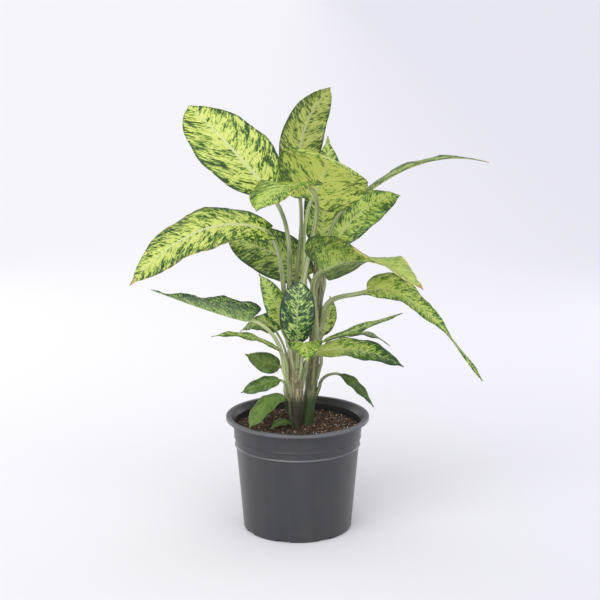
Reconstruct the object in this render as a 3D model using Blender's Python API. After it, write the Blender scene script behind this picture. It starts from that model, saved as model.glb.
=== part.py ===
"""A potted dieffenbachia: two canes in a plastic nursery pot, with a leaf in each node.

Metres, +Z up. The origin is the centre of the pot's flat underside, and the plant's front faces -Y.
A leaf is one body from the foot of its petiole to the tip of its blade. Its midrib is an arch through
three points: where the blade starts, its middle, and its tip.
"""

import math
from typing import NamedTuple

import bpy
import numpy as np

# Pot
POT_HEIGHT = 0.154
RIM_RADIUS = 0.095
RIM_THICKNESS = 0.0045
RIM_OPENING = 0.088
SHOULDER_RADIUS = 0.0845
SHOULDER_HEIGHT = 0.1465
RING_LOW = 0.1135
RING_HIGH = 0.1250
RING_STEP = 0.0007
BASE_RADIUS = 0.0721
FOOT_CHAMFER = 0.0018
WALL = 0.0016
FLOOR = 0.0024
POT_SEGMENTS = 48

# Drain slots round the bottom edge
SLOT_COUNT = 8
SLOT_WIDTH = 0.018
SLOT_HEIGHT = 0.0034
SLOT_DEPTH = 0.0065
SLOT_FIRST_ANGLE = 30.0

# Soil
SOIL_LEVEL = 0.1385
SOIL_LUMP = 0.0016
SOIL_RINGS = 5

# Fits between neighbouring bodies
GAP = 0.0003
STALK_GAP = 0.0006

# Leaves
BLADE_THICKNESS = 0.0009
BLADE_STEP = 0.018
BLADE_STEPS_LEAST = 7
PETIOLE_STEP = 0.035
PETIOLE_STEPS_LEAST = 3
ACROSS = (-1.0, -0.5, 0.0, 0.5, 1.0)
FOOT_FLARE = 1.35
TIP_HALF_WIDTH = 0.0008
SPUR_WIDTH = 0.05
MARGIN_OFFSET = 1.9
CANE_SIDES = 12

SOIL_BROWN = (0.045, 0.026, 0.018)
POT_GREY = (0.072, 0.076, 0.090)
CANE_TAN = (0.30, 0.27, 0.14)
CANE_GREEN = (0.16, 0.20, 0.08)
LEAF_LIME = (0.36, 0.50, 0.10)
LEAF_GREEN = (0.13, 0.26, 0.06)
LEAF_DARK = (0.06, 0.14, 0.05)


class Ring(NamedTuple):
    """A level of a cane: where its centre stands and how thick it is."""

    x: float
    y: float
    z: float
    radius: float


LEFT_CANE = (
    Ring(-0.004, -0.006, 0.070, 0.0075),
    Ring(-0.004, -0.006, 0.139, 0.0085),
    Ring(-0.003, -0.006, 0.175, 0.0115),
    Ring(-0.003, -0.006, 0.235, 0.0110),
    Ring(-0.002, -0.002, 0.275, 0.0095),
    Ring(-0.001, 0.002, 0.315, 0.0070),
)
RIGHT_CANE = (
    Ring(0.0125, 0.008, 0.070, 0.0075),
    Ring(0.0125, 0.008, 0.139, 0.0080),
    Ring(0.0190, 0.010, 0.200, 0.0085),
    Ring(0.0235, 0.012, 0.260, 0.0080),
    Ring(0.0260, 0.012, 0.310, 0.0075),
    Ring(0.0270, 0.014, 0.345, 0.0070),
    Ring(0.0290, 0.018, 0.385, 0.0060),
)
# A short side shoot on the front of the left cane. It is fused into it.
SIDE_SHOOT = (
    Ring(-0.002, -0.010, 0.190, 0.0040),
    Ring(0.000, -0.022, 0.208, 0.0055),
    Ring(0.001, -0.031, 0.226, 0.0060),
    Ring(0.002, -0.034, 0.252, 0.0050),
)
CANES = {"left": LEFT_CANE, "right": RIGHT_CANE, "shoot": SIDE_SHOOT}


class Leaf(NamedTuple):
    """A leaf. Angles are in degrees; an azimuth of 0 is towards -Y, and 90 towards +X."""

    name: str
    cane: str
    node: float  # height of the petiole's foot
    azimuth: float  # side of the cane that the foot stands on
    base: tuple
    crest: tuple
    tip: tuple
    width: float
    face: tuple  # where the upper face looks at the base
    tip_face: tuple = ()  # and at the tip, where the blade twists
    stalk: float = 0.0022  # radius of the petiole
    fold: float = 12.0  # how far each half is raised from flat
    curl: float = 0.15  # how far the margins droop
    lobe: float = 0.14  # how far the basal lobes reach back
    shoulder: float = 0.55  # lower is blunter at the base
    taper: float = 0.85  # higher is more pointed
    skew: float = 0.0  # how far one half of the blade stands behind the other
    spur: float = 0.05  # share of the blade that is its drawn-out point
    rise: float = 0.45  # how far the petiole climbs before it leans
    reach: float = 0.35  # how straight it runs into the blade
    wave: float = 0.0025  # depth of the margin's waves
    waves: float = 3.0
    colour: tuple = LEAF_GREEN


LEAVES = (
    Leaf("leaf_high_left", "left", 0.290, -130, (-0.038, 0.012, 0.452), (-0.088, 0.012, 0.510),
         (-0.140, 0.030, 0.560), 0.092, (0.25, -0.85, 0.5), stalk=0.0028, fold=8, curl=0.05,
         lobe=0.05, shoulder=0.45, taper=0.6, skew=0.3, spur=0.02, colour=LEAF_LIME),
    Leaf("leaf_top", "left", 0.303, -175, (0.003, 0.030, 0.442), (0.007, 0.034, 0.522),
         (0.042, 0.022, 0.584), 0.056, (-0.05, 0.95, 0.25), stalk=0.0024, fold=8, shoulder=0.5,
         taper=0.6, spur=0.02, colour=LEAF_LIME),
    Leaf("leaf_over_crown", "left", 0.285, 105, (0.020, 0.020, 0.442), (0.037, -0.025, 0.492),
         (0.030, -0.085, 0.507), 0.122, (0.40, 0.35, 0.9), stalk=0.0026, fold=4, curl=0.2,
         shoulder=0.45, taper=0.55, spur=0.02, colour=LEAF_LIME),
    Leaf("leaf_forward_left", "left", 0.275, 10, (0.010, -0.045, 0.467), (-0.020, -0.085, 0.470),
         (-0.050, -0.125, 0.447), 0.082, (-0.4, -0.45, 0.8), stalk=0.0030, fold=12, curl=0.1,
         shoulder=0.4, taper=0.6, spur=0.03),
    Leaf("leaf_back_upright", "right", 0.355, 175, (0.030, 0.055, 0.373), (0.038, 0.078, 0.443),
         (0.041, 0.115, 0.511), 0.056, (0, -0.9, 0.4), stalk=0.0024),
    Leaf("leaf_back_right", "right", 0.325, 130, (0.052, 0.022, 0.383), (0.087, 0.038, 0.423),
         (0.136, 0.060, 0.438), 0.052, (0.1, -0.8, 0.6), taper=0.7, spur=0.03),
    Leaf("leaf_far_right", "right", 0.370, 85, (0.092, 0.018, 0.452), (0.171, 0.026, 0.489),
         (0.249, 0.030, 0.486), 0.050, (-0.2, 0.05, 1), fold=14, curl=0.1, wave=0.0015),
    Leaf("leaf_drooping_left", "left", 0.268, -80, (-0.043, -0.030, 0.408), (-0.126, -0.052, 0.409),
         (-0.210, -0.080, 0.346), 0.074, (-0.1, -0.55, 0.85), stalk=0.0028, fold=8, curl=0.1,
         lobe=0.3, shoulder=0.5, taper=0.6, spur=0.03, rise=0.2, reach=0.2, colour=LEAF_LIME),
    Leaf("leaf_behind_left", "left", 0.255, 155, (0.012, 0.032, 0.336), (-0.032, 0.050, 0.362),
         (-0.096, 0.062, 0.383), 0.066, (-0.1, -0.9, 0.45), taper=0.55, spur=0.03, rise=0.25),
    Leaf("leaf_young_left", "shoot", 0.240, -90, (-0.020, -0.028, 0.278), (-0.031, -0.030, 0.318),
         (-0.050, -0.026, 0.350), 0.030, (0.2, -0.95, 0.2), stalk=0.0018, wave=0.0012),
    Leaf("leaf_young_front", "shoot", 0.246, -10, (-0.001, -0.045, 0.268), (0.000, -0.052, 0.308),
         (0.003, -0.040, 0.345), 0.046, (0, -1, 0.1), stalk=0.0018, shoulder=0.45, taper=0.5,
         wave=0.0015, colour=LEAF_DARK),
    Leaf("leaf_front_tongue", "shoot", 0.228, 25, (0.007, -0.054, 0.264), (0.010, -0.085, 0.270),
         (0.013, -0.115, 0.256), 0.045, (0, -0.25, 0.95), stalk=0.0016, fold=14, wave=0.0015),
    Leaf("leaf_young_right", "right", 0.215, 150, (0.034, 0.026, 0.258), (0.042, 0.030, 0.284),
         (0.043, 0.030, 0.308), 0.022, (0.1, -0.95, 0.2), stalk=0.0016, wave=0.0012),
    Leaf("leaf_drooping_right", "right", 0.285, 50, (0.090, -0.030, 0.328), (0.153, -0.052, 0.315),
         (0.236, -0.070, 0.219), 0.064, (0.2, -0.45, 0.85), stalk=0.0030, fold=25, shoulder=0.5,
         taper=2.0),
    Leaf("leaf_twisted_right", "right", 0.270, 0, (0.033, -0.030, 0.356), (0.091, -0.060, 0.374),
         (0.156, -0.100, 0.345), 0.112, (-0.15, 0.85, 0.5), tip_face=(0.2, -0.35, 0.9), stalk=0.0032,
         fold=30, shoulder=0.3, taper=0.8),
    Leaf("leaf_folded_left", "left", 0.215, -80, (-0.065, 0.005, 0.282), (-0.120, 0.012, 0.295),
         (-0.193, 0.020, 0.319), 0.072, (0, 0.1, 1), stalk=0.0024, fold=55, lobe=0.25, shoulder=0.32,
         taper=1.0, colour=LEAF_DARK),
    Leaf("leaf_narrow_left", "left", 0.205, -45, (-0.025, -0.020, 0.248), (-0.068, -0.030, 0.269),
         (-0.111, -0.040, 0.270), 0.028, (0, -0.1, 1), stalk=0.0016, wave=0.0012),
    Leaf("leaf_small_back_left", "left", 0.205, -140, (-0.030, 0.030, 0.262), (-0.050, 0.045, 0.270),
         (-0.078, 0.060, 0.252), 0.032, (-0.1, -0.6, 0.8), stalk=0.0016, wave=0.0012),
    Leaf("leaf_low_left", "left", 0.186, -105, (-0.026, -0.002, 0.221), (-0.046, -0.006, 0.228),
         (-0.069, -0.010, 0.239), 0.028, (0, -0.9, 0.45), stalk=0.0016, wave=0.0012),
    Leaf("leaf_lower_left", "left", 0.175, -65, (-0.024, -0.012, 0.204), (-0.045, -0.016, 0.200),
         (-0.074, -0.022, 0.190), 0.022, (-0.1, -0.7, 0.7), stalk=0.0016, lobe=0.05, taper=0.5,
         wave=0.0012, colour=LEAF_DARK),
    Leaf("leaf_lowest_left", "left", 0.160, -30, (-0.019, -0.020, 0.184), (-0.042, -0.032, 0.176),
         (-0.063, -0.050, 0.149), 0.034, (-0.5, -0.5, 0.7), stalk=0.0016, taper=0.5, wave=0.0012),
    Leaf("leaf_at_soil", "left", 0.145, -20, (-0.010, -0.022, 0.149), (-0.022, -0.032, 0.153),
         (-0.035, -0.045, 0.148), 0.016, (0, -0.4, 0.9), stalk=0.0014, wave=0.001, colour=LEAF_DARK),
    Leaf("leaf_low_right", "right", 0.190, 80, (0.058, 0.008, 0.206), (0.080, 0.005, 0.190),
         (0.101, 0.000, 0.164), 0.018, (0.1, -0.5, 0.9), stalk=0.0018, lobe=0.05, wave=0.0012,
         colour=LEAF_DARK),
    Leaf("leaf_mid_right", "shoot", 0.230, 75, (0.022, -0.032, 0.245), (0.078, -0.046, 0.254),
         (0.136, -0.060, 0.235), 0.044, (0.1, -0.4, 0.9), stalk=0.0018, fold=20, taper=0.6,
         wave=0.0018),
    Leaf("leaf_slim_right", "left", 0.215, 70, (0.036, -0.008, 0.257), (0.088, 0.000, 0.274),
         (0.138, 0.008, 0.290), 0.024, (0, -0.1, 1), stalk=0.0018, wave=0.0012, waves=2),
    Leaf("leaf_arched_right", "right", 0.220, 100, (0.050, 0.016, 0.256), (0.090, 0.022, 0.259),
         (0.123, 0.030, 0.240), 0.024, (0, -0.1, 1), stalk=0.0016, wave=0.0012),
)


def unit(vector):
    """The vector at length 1."""
    vector = np.asarray(vector, float)
    return vector / np.linalg.norm(vector)


def bezier(handles, t):
    """The point at t of a Bezier curve with three or four handles."""
    order = len(handles) - 1
    return sum(
        math.comb(order, k) * (1 - t) ** (order - k) * t**k * handle
        for k, handle in enumerate(handles)
    )


def bezier_direction(handles, t):
    """The direction at t of a Bezier curve."""
    steps = [b - a for a, b in zip(handles, handles[1:])]
    return unit(bezier(steps, t))


def new_material(name, colour, roughness):
    """A plain Principled material."""
    material = bpy.data.materials.new(name)
    material.use_nodes = True
    shader = material.node_tree.nodes["Principled BSDF"]
    shader.inputs["Base Color"].default_value = (*colour, 1.0)
    shader.inputs["Roughness"].default_value = roughness
    shader.inputs["Metallic"].default_value = 0.0
    return material


def add_mesh(name, points, faces, colour, roughness, parent=None):
    """A new object from points and faces, smooth shaded and with its own material."""
    mesh = bpy.data.meshes.new(name)
    mesh.from_pydata([tuple(map(float, point)) for point in points], [], faces)
    mesh.materials.append(new_material(name, colour, roughness))
    mesh.shade_smooth()
    mesh.set_sharp_from_angle(angle=math.radians(40))
    thing = bpy.data.objects.new(name, mesh)
    bpy.context.collection.objects.link(thing)
    thing.parent = parent
    return thing


def as_cutter(thing):
    """Marks an object as a guide that isn't part of the plant."""
    thing.display_type = "WIRE"
    thing.hide_render = True
    return thing


def combine(thing, other, operation):
    """Adds an exact Boolean of the other object to the first."""
    modifier = thing.modifiers.new(operation.lower(), "BOOLEAN")
    modifier.operation = operation
    modifier.solver = "EXACT"
    modifier.object = other


def turned(profile, segments):
    """Points and faces of a profile of (radius, height) turned about Z. It runs from pole to pole."""
    points = []
    faces = []
    rows = []
    for radius, height in profile:
        if radius == 0:
            rows.append([len(points)] * segments)
            points.append((0, 0, height))
            continue
        rows.append(list(range(len(points), len(points) + segments)))
        for k in range(segments):
            angle = 2 * math.pi * k / segments
            points.append((radius * math.cos(angle), radius * math.sin(angle), height))
    for low, high in zip(rows, rows[1:]):
        for k in range(segments):
            n = (k + 1) % segments
            corners = (low[k], low[n], high[n], high[k])
            faces.append(tuple(dict.fromkeys(corners)))
    return points, faces


def wall_radius(height):
    """Outer radius of the pot's tapered wall under the shoulder."""
    share = height / SHOULDER_HEIGHT
    return BASE_RADIUS + share * (SHOULDER_RADIUS - BASE_RADIUS)


def inner_radius(height):
    """Inner radius of the same wall."""
    return wall_radius(height) - WALL


def make_slot_cutters(parent):
    """One object of boxes that cut the drain slots."""
    points = []
    faces = []
    inner = BASE_RADIUS - SLOT_DEPTH
    outer = BASE_RADIUS + SLOT_DEPTH
    for k in range(SLOT_COUNT):
        angle = math.radians(SLOT_FIRST_ANGLE + k * 360 / SLOT_COUNT)
        out = np.array((math.sin(angle), -math.cos(angle), 0))
        along = np.array((math.cos(angle), math.sin(angle), 0))
        first = len(points)
        for z in (-SLOT_HEIGHT, SLOT_HEIGHT):
            for radius, side in ((inner, -1), (outer, -1), (outer, 1), (inner, 1)):
                points.append(out * radius + along * side * SLOT_WIDTH / 2 + (0, 0, z))
        faces.append(tuple(first + corner for corner in (3, 2, 1, 0)))
        faces.append(tuple(first + corner for corner in (4, 5, 6, 7)))
        for a, b in ((0, 1), (1, 2), (2, 3), (3, 0)):
            faces.append((first + a, first + b, first + b + 4, first + a + 4))
    return as_cutter(add_mesh("slot_cutters", points, faces, POT_GREY, 0.5, parent))


def make_pot(parent):
    """The pot: tapered wall, two ring steps, flange rim, flat underside and drain slots."""
    outside = [
        (0, 0),
        (BASE_RADIUS - FOOT_CHAMFER, 0),
        (BASE_RADIUS, FOOT_CHAMFER),
        (wall_radius(RING_LOW), RING_LOW),
        (wall_radius(RING_LOW) + RING_STEP, RING_LOW + RING_STEP),
        (wall_radius(RING_HIGH) + RING_STEP, RING_HIGH),
        (wall_radius(RING_HIGH) + 2 * RING_STEP, RING_HIGH + RING_STEP),
        (SHOULDER_RADIUS + 2 * RING_STEP, SHOULDER_HEIGHT),
    ]
    rim = [
        (SHOULDER_RADIUS + 3 * RING_STEP, POT_HEIGHT - RIM_THICKNESS),
        (RIM_RADIUS, POT_HEIGHT - RIM_THICKNESS),
        (RIM_RADIUS, POT_HEIGHT - RING_STEP),
        (RIM_RADIUS - RING_STEP, POT_HEIGHT),
        (RIM_OPENING + RING_STEP, POT_HEIGHT),
        (RIM_OPENING, POT_HEIGHT - RING_STEP),
    ]
    inside = [
        (inner_radius(SHOULDER_HEIGHT), SHOULDER_HEIGHT),
        (inner_radius(FLOOR), FLOOR),
        (0, FLOOR),
    ]
    pot = add_mesh("pot", *turned(outside + rim + inside, POT_SEGMENTS), POT_GREY, 0.45, parent)
    combine(pot, make_slot_cutters(parent), "DIFFERENCE")
    return pot


def soil_height(x, y):
    """Height of the soil, from a few overlapping swells."""
    swell = math.sin(95 * x + 1.3) * math.cos(80 * y - 0.4)
    crumb = math.sin(210 * x + 170 * y) * math.cos(160 * x - 230 * y + 0.7)
    return SOIL_LEVEL + SOIL_LUMP * (0.6 * swell + 0.4 * crumb)


def make_soil(parent, hole_cutters):
    """The soil that fills the pot, with a plain hole for each cane."""
    top_radius = inner_radius(SOIL_LEVEL) - 2 * GAP
    profile = [(0, FLOOR + GAP), (inner_radius(FLOOR) - 2 * GAP, FLOOR + GAP)]
    profile += [(top_radius * k / SOIL_RINGS, SOIL_LEVEL) for k in range(SOIL_RINGS, -1, -1)]
    points, faces = turned(profile, POT_SEGMENTS)
    shaped = [
        (x, y, soil_height(x, y)) if z == SOIL_LEVEL else (x, y, z)
        for x, y, z in points
    ]
    triangles = []
    for face in faces:
        triangles += [(face[0], face[k], face[k + 1]) for k in range(1, len(face) - 1)]
    soil = add_mesh("soil", shaped, triangles, SOIL_BROWN, 0.95, parent)
    for cutter in hole_cutters:
        combine(soil, cutter, "DIFFERENCE")
    return soil


def tube(rings, grow=0.0):
    """Points and faces of a closed tube through level rings, with a low dome on top."""
    levels = [Ring(r.x, r.y, r.z, r.radius + grow) for r in rings]
    levels[0] = levels[0]._replace(z=levels[0].z - grow)
    top = levels[-1]
    levels.append(top._replace(z=top.z + 0.45 * top.radius, radius=0.65 * top.radius))
    points = []
    faces = []
    for level in levels:
        for k in range(CANE_SIDES):
            angle = 2 * math.pi * k / CANE_SIDES
            points.append((level.x + level.radius * math.cos(angle),
                           level.y + level.radius * math.sin(angle), level.z))
    for row in range(len(levels) - 1):
        for k in range(CANE_SIDES):
            low = row * CANE_SIDES
            n = (k + 1) % CANE_SIDES
            faces.append((low + k, low + n, low + CANE_SIDES + n))
            faces.append((low + k, low + CANE_SIDES + n, low + CANE_SIDES + k))
    last = (len(levels) - 1) * CANE_SIDES
    faces.append(tuple(reversed(range(CANE_SIDES))))
    faces.append(tuple(range(last, last + CANE_SIDES)))
    return points, faces


def make_canes(parent):
    """The two canes, the left one with its side shoot fused on."""
    left = add_mesh("cane_left", *tube(LEFT_CANE), CANE_TAN, 0.6, parent)
    shoot = add_mesh("side_shoot", *tube(SIDE_SHOOT), CANE_TAN, 0.6, parent)
    combine(left, as_cutter(shoot), "UNION")
    right = add_mesh("cane_right", *tube(RIGHT_CANE), CANE_GREEN, 0.6, parent)
    return left, right


def make_hole_cutters(parent):
    """Guides that cut each cane's hole in the soil."""
    cutters = []
    for side in ("left", "right"):
        points, faces = tube(CANES[side], GAP)
        cutters.append(as_cutter(add_mesh(f"hole_{side}", points, faces, SOIL_BROWN, 0.9, parent)))
    return cutters


def cane_level(cane, height):
    """Centre and radius of a cane at a height."""
    rings = CANES[cane]
    heights = [ring.z for ring in rings]
    x, y, radius = (
        float(np.interp(height, heights, [getattr(ring, part) for ring in rings]))
        for part in ("x", "y", "radius")
    )
    return np.array((x, y, height)), radius


class Blade:
    """The midrib of a leaf and the way its blade spreads from it."""

    def __init__(self, leaf):
        self.leaf = leaf
        base, crest, tip = (np.array(p, float) for p in (leaf.base, leaf.crest, leaf.tip))
        self.midrib = (base, 2 * crest - (base + tip) / 2, tip)
        self.length = np.linalg.norm(crest - base) + np.linalg.norm(tip - crest)
        self.base_side = unit(np.cross(crest - base, leaf.face))
        self.tip_side = unit(np.cross(tip - crest, leaf.tip_face or leaf.face))

    def side(self, t):
        """Direction across the blade, turned evenly from base to tip."""
        turn = math.acos(min(1.0, float(self.base_side @ self.tip_side)))
        if turn < 1e-4:
            return self.base_side
        mix = math.sin((1 - t) * turn) * self.base_side + math.sin(t * turn) * self.tip_side
        return unit(mix)

    def half_width(self, t):
        """Distance from midrib to margin, largest where shoulder and taper balance."""
        leaf = self.leaf
        widest = leaf.shoulder / (leaf.shoulder + leaf.taper)
        peak = widest**leaf.shoulder * (1 - widest) ** leaf.taper
        inner = min(t / (1 - leaf.spur), 1)
        body = leaf.width / 2 * inner**leaf.shoulder * (1 - inner) ** leaf.taper / peak
        point = SPUR_WIDTH * leaf.width * min((1 - t) / leaf.spur, 1)
        return max(body, point, TIP_HALF_WIDTH)

    def section(self, t):
        """The closed ring of points round the blade at t: upper face out, lower face back."""
        leaf = self.leaf
        centre = bezier(self.midrib, t)
        along = bezier_direction(self.midrib, t)
        side = self.side(t)
        normal = unit(np.cross(side, along))
        half = self.half_width(t)
        fold = math.radians(leaf.fold) * (1 - 0.35 * t)
        swing = leaf.wave * math.sin(math.pi * t) ** 0.6 if t < 1 else 0.0
        upper = []
        lower = []
        for s in ACROSS:
            out = abs(s)
            turn = 2 * math.pi * leaf.waves * t + (0 if s > 0 else MARGIN_OFFSET)
            lift = half * out * (math.sin(fold) - leaf.curl * out) + swing * out**1.6 * math.sin(turn)
            back = leaf.lobe * leaf.width * out**2 * (1 - t) ** 3 + leaf.skew * half * s
            point = centre + side * half * s * math.cos(fold) + normal * lift - along * back
            facing = unit(normal * math.cos(fold) - side * np.sign(s) * math.sin(fold))
            rib = leaf.stalk * 1.1 * (1 - t) ** 1.2 + 0.0002 if s == 0 else 0.0
            upper.append(point + facing * BLADE_THICKNESS / 2)
            lower.append(point - facing * (BLADE_THICKNESS / 2 + rib))
        return upper + lower[::-1]


def petiole_sections(blade):
    """Rings round the petiole, from its foot beside the cane to the base of the blade."""
    leaf = blade.leaf
    axis, cane_radius = cane_level(leaf.cane, leaf.node)
    angle = math.radians(leaf.azimuth)
    out = np.array((math.sin(angle), -math.cos(angle), 0))
    foot_radius = leaf.stalk * FOOT_FLARE
    foot = axis + out * (cane_radius + foot_radius + STALK_GAP)
    base = blade.midrib[0]
    span = np.linalg.norm(base - foot)
    entry = bezier_direction(blade.midrib, 0)
    path = (foot, foot + np.array((0, 0, span * leaf.rise)), base - entry * span * leaf.reach, base)
    steps = max(PETIOLE_STEPS_LEAST, round(span / PETIOLE_STEP))
    across = blade.side(0)
    count = 2 * len(ACROSS)
    sections = []
    for k in range(steps, -1, -1):
        t = k / steps
        along = bezier_direction(path, t)
        across = unit(across - along * (across @ along))
        normal = np.cross(across, along)
        radius = foot_radius + (leaf.stalk - foot_radius) * min(1, 1.6 * t)
        centre = bezier(path, t)
        turns = [math.pi - (j + 0.5) * 2 * math.pi / count for j in range(count)]
        sections.append([
            centre + radius * (across * math.cos(turn) + normal * math.sin(turn)) for turn in turns
        ])
    return sections[::-1]


def blade_sections(blade):
    """Rings round the blade, closer together near the base and the tip."""
    steps = max(BLADE_STEPS_LEAST, round(blade.length / BLADE_STEP))
    places = [k / steps for k in range(1, steps + 1)]
    return [blade.section(0.45 * u + 0.275 * (1 - math.cos(math.pi * u))) for u in places]


def skin(sections):
    """Points and triangles of a closed body through rings, cut alike on both faces of the blade."""
    half = len(ACROSS)
    count = 2 * half
    points = [point for section in sections for point in section]
    faces = []
    for row in range(len(sections) - 1):
        for j in range(count):
            n = (j + 1) % count
            a, b = row * count + j, row * count + n
            d, c = a + count, b + count
            if j < half:
                faces += [(a, c, d), (a, b, c)]
            else:
                faces += [(a, b, d), (b, c, d)]
    last = (len(sections) - 1) * count
    for j in range(half - 1):
        quad = (j, j + 1, count - 2 - j, count - 1 - j)
        faces.append((quad[2], quad[1], quad[0]))
        faces.append((quad[3], quad[2], quad[0]))
        faces.append((last + quad[0], last + quad[1], last + quad[2]))
        faces.append((last + quad[0], last + quad[2], last + quad[3]))
    return points, faces


def make_leaf(leaf, parent):
    """One leaf, petiole and blade in one body."""
    blade = Blade(leaf)
    points, faces = skin(petiole_sections(blade) + blade_sections(blade))
    return add_mesh(leaf.name, points, faces, leaf.colour, 0.5, parent)


def make_plant():
    """The whole potted plant under one empty."""
    for thing in list(bpy.data.objects):
        bpy.data.objects.remove(thing, do_unlink=True)
    plant = bpy.data.objects.new("plant", None)
    bpy.context.collection.objects.link(plant)
    make_pot(plant)
    make_soil(plant, make_hole_cutters(plant))
    make_canes(plant)
    for leaf in LEAVES:
        make_leaf(leaf, plant)


make_plant()
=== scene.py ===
"""A potted dieffenbachia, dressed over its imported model: pot, soil, canes and leaves."""
import logging
import math
from dataclasses import dataclass, field
from enum import Enum
from typing import Any

import bmesh
import bpy
import numpy as np
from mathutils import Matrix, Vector, noise


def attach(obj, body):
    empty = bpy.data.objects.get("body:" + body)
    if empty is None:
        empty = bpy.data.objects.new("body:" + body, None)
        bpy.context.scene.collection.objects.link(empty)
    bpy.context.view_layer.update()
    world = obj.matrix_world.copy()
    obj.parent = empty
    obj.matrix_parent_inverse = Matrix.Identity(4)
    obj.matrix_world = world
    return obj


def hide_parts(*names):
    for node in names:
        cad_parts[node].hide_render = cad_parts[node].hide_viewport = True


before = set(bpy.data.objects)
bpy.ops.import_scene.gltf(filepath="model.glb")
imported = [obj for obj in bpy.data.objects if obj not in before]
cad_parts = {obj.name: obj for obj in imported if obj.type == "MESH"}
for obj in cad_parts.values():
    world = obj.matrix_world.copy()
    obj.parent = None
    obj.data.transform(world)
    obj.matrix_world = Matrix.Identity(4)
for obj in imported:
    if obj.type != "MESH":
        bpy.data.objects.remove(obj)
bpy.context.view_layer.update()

LOG = logging.getLogger("dieffenbachia")
BODY = "root"

Colour = tuple[float, float, float]
Point = tuple[float, float, float]
Span = tuple[float, float]
Faces = list[tuple[int, ...]]


def srgb(red: int, green: int, blue: int) -> Colour:
    """Turn a display colour into the linear one that a shader takes."""
    shares = (value / 255 for value in (red, green, blue))
    return tuple(s / 12.92 if s <= 0.04045 else ((s + 0.055) / 1.055) ** 2.4 for s in shares)


def add(name: str, data: Any) -> bpy.types.Object:
    """Add an object to the scene, at the origin.

    Args:
        name: Its name.
        data: Its mesh, light or camera.

    Returns:
        The object.
    """
    item = bpy.data.objects.new(name, data)
    bpy.context.scene.collection.objects.link(item)
    return item


class Slot(Enum):
    """The record's finishes."""

    POT = "pot_plastic"
    SOIL = "soil"
    CANE_TAN = "cane_tan"
    CANE_GREEN = "cane_green"
    LEAF_LIME = "leaf_lime"
    LEAF_GREEN = "leaf_green"
    LEAF_DARK = "leaf_dark"


# ---- node trees


class Link:
    """A socket that takes part in arithmetic: an expression adds its Math nodes."""

    def __init__(self, web: "Web", socket: bpy.types.NodeSocket) -> None:
        """Keep the socket and the tree that it belongs to."""
        self.web = web
        self.socket = socket

    def math(self, operation: str, *others: Any) -> "Link":
        """Add one Math node with this socket first."""
        return self.web.node("ShaderNodeMath", {"operation": operation}, dict(enumerate((self, *others))))

    def __add__(self, other: Any) -> "Link":
        """Sum of two values."""
        return self.math("ADD", other)

    __radd__ = __add__

    def __sub__(self, other: Any) -> "Link":
        """Difference of two values."""
        return self.math("SUBTRACT", other)

    def __rsub__(self, other: Any) -> "Link":
        """Difference, with a plain number first."""
        return self.web.node("ShaderNodeMath", {"operation": "SUBTRACT"}, {0: other, 1: self})

    def __mul__(self, other: Any) -> "Link":
        """Product of two values."""
        return self.math("MULTIPLY", other)

    __rmul__ = __mul__

    def __pow__(self, other: Any) -> "Link":
        """Power of a value."""
        return self.math("POWER", other)

    def size(self) -> "Link":
        """Value without its sign."""
        return self.math("ABSOLUTE")

    def rise(self, low: Any, high: Any) -> "Link":
        """Smooth step from 0 at low to 1 at high.

        Args:
            low: Value where the step starts.
            high: Value where it ends.

        Returns:
            The step, from 0 to 1.
        """
        return self.web.node(
            "ShaderNodeMapRange", {"interpolation_type": "SMOOTHSTEP"},
            {"Value": self, "From Min": low, "From Max": high},
        )


class Web:
    """A node tree that is filled through one method, for materials and geometry alike."""

    def __init__(self, tree: bpy.types.NodeTree) -> None:
        """Start from an empty tree."""
        self.tree = tree
        tree.nodes.clear()

    def node(self, kind: str, settings: dict, inputs: dict, output: Any = 0) -> Link:
        """Add a node, set it and link it.

        Args:
            kind: Blender's name of the node's type.
            settings: Properties, set first; "stops" are a colour ramp's.
            inputs: Values or links, by a socket's identifier, name or place.
            output: The output to hand back, by the same keys.

        Returns:
            The chosen output.
        """
        node = self.tree.nodes.new(kind)
        for key, value in settings.items():
            if key == "stops":
                self._set_stops(node.color_ramp, value)
            else:
                setattr(node, key, value)
        for key, value in inputs.items():
            socket = self.socket(node.inputs, key)
            if isinstance(value, Link):
                self.tree.links.new(value.socket, socket)
            else:
                socket.default_value = value
        return Link(self, self.socket(node.outputs, output))

    @staticmethod
    def _set_stops(ramp: bpy.types.ColorRamp, stops: list[tuple[float, Colour]]) -> None:
        """Give a colour ramp its stops.

        Args:
            ramp: The ramp.
            stops: Place and colour of each.
        """
        while len(ramp.elements) < len(stops):
            ramp.elements.new(1.0)
        for element, (place, colour) in zip(ramp.elements, stops):
            element.position = place
            element.color = (*colour, 1.0)

    @staticmethod
    def socket(sockets: Any, key: Any) -> bpy.types.NodeSocket:
        """Find a socket that is switched on.

        Args:
            sockets: A node's inputs or outputs.
            key: The socket's place, identifier or name.

        Returns:
            The socket.
        """
        if isinstance(key, int):
            return sockets[key]
        for word in ("identifier", "name"):
            for socket in sockets:
                if getattr(socket, word) == key and socket.enabled:
                    return socket
        raise KeyError(key)


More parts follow.
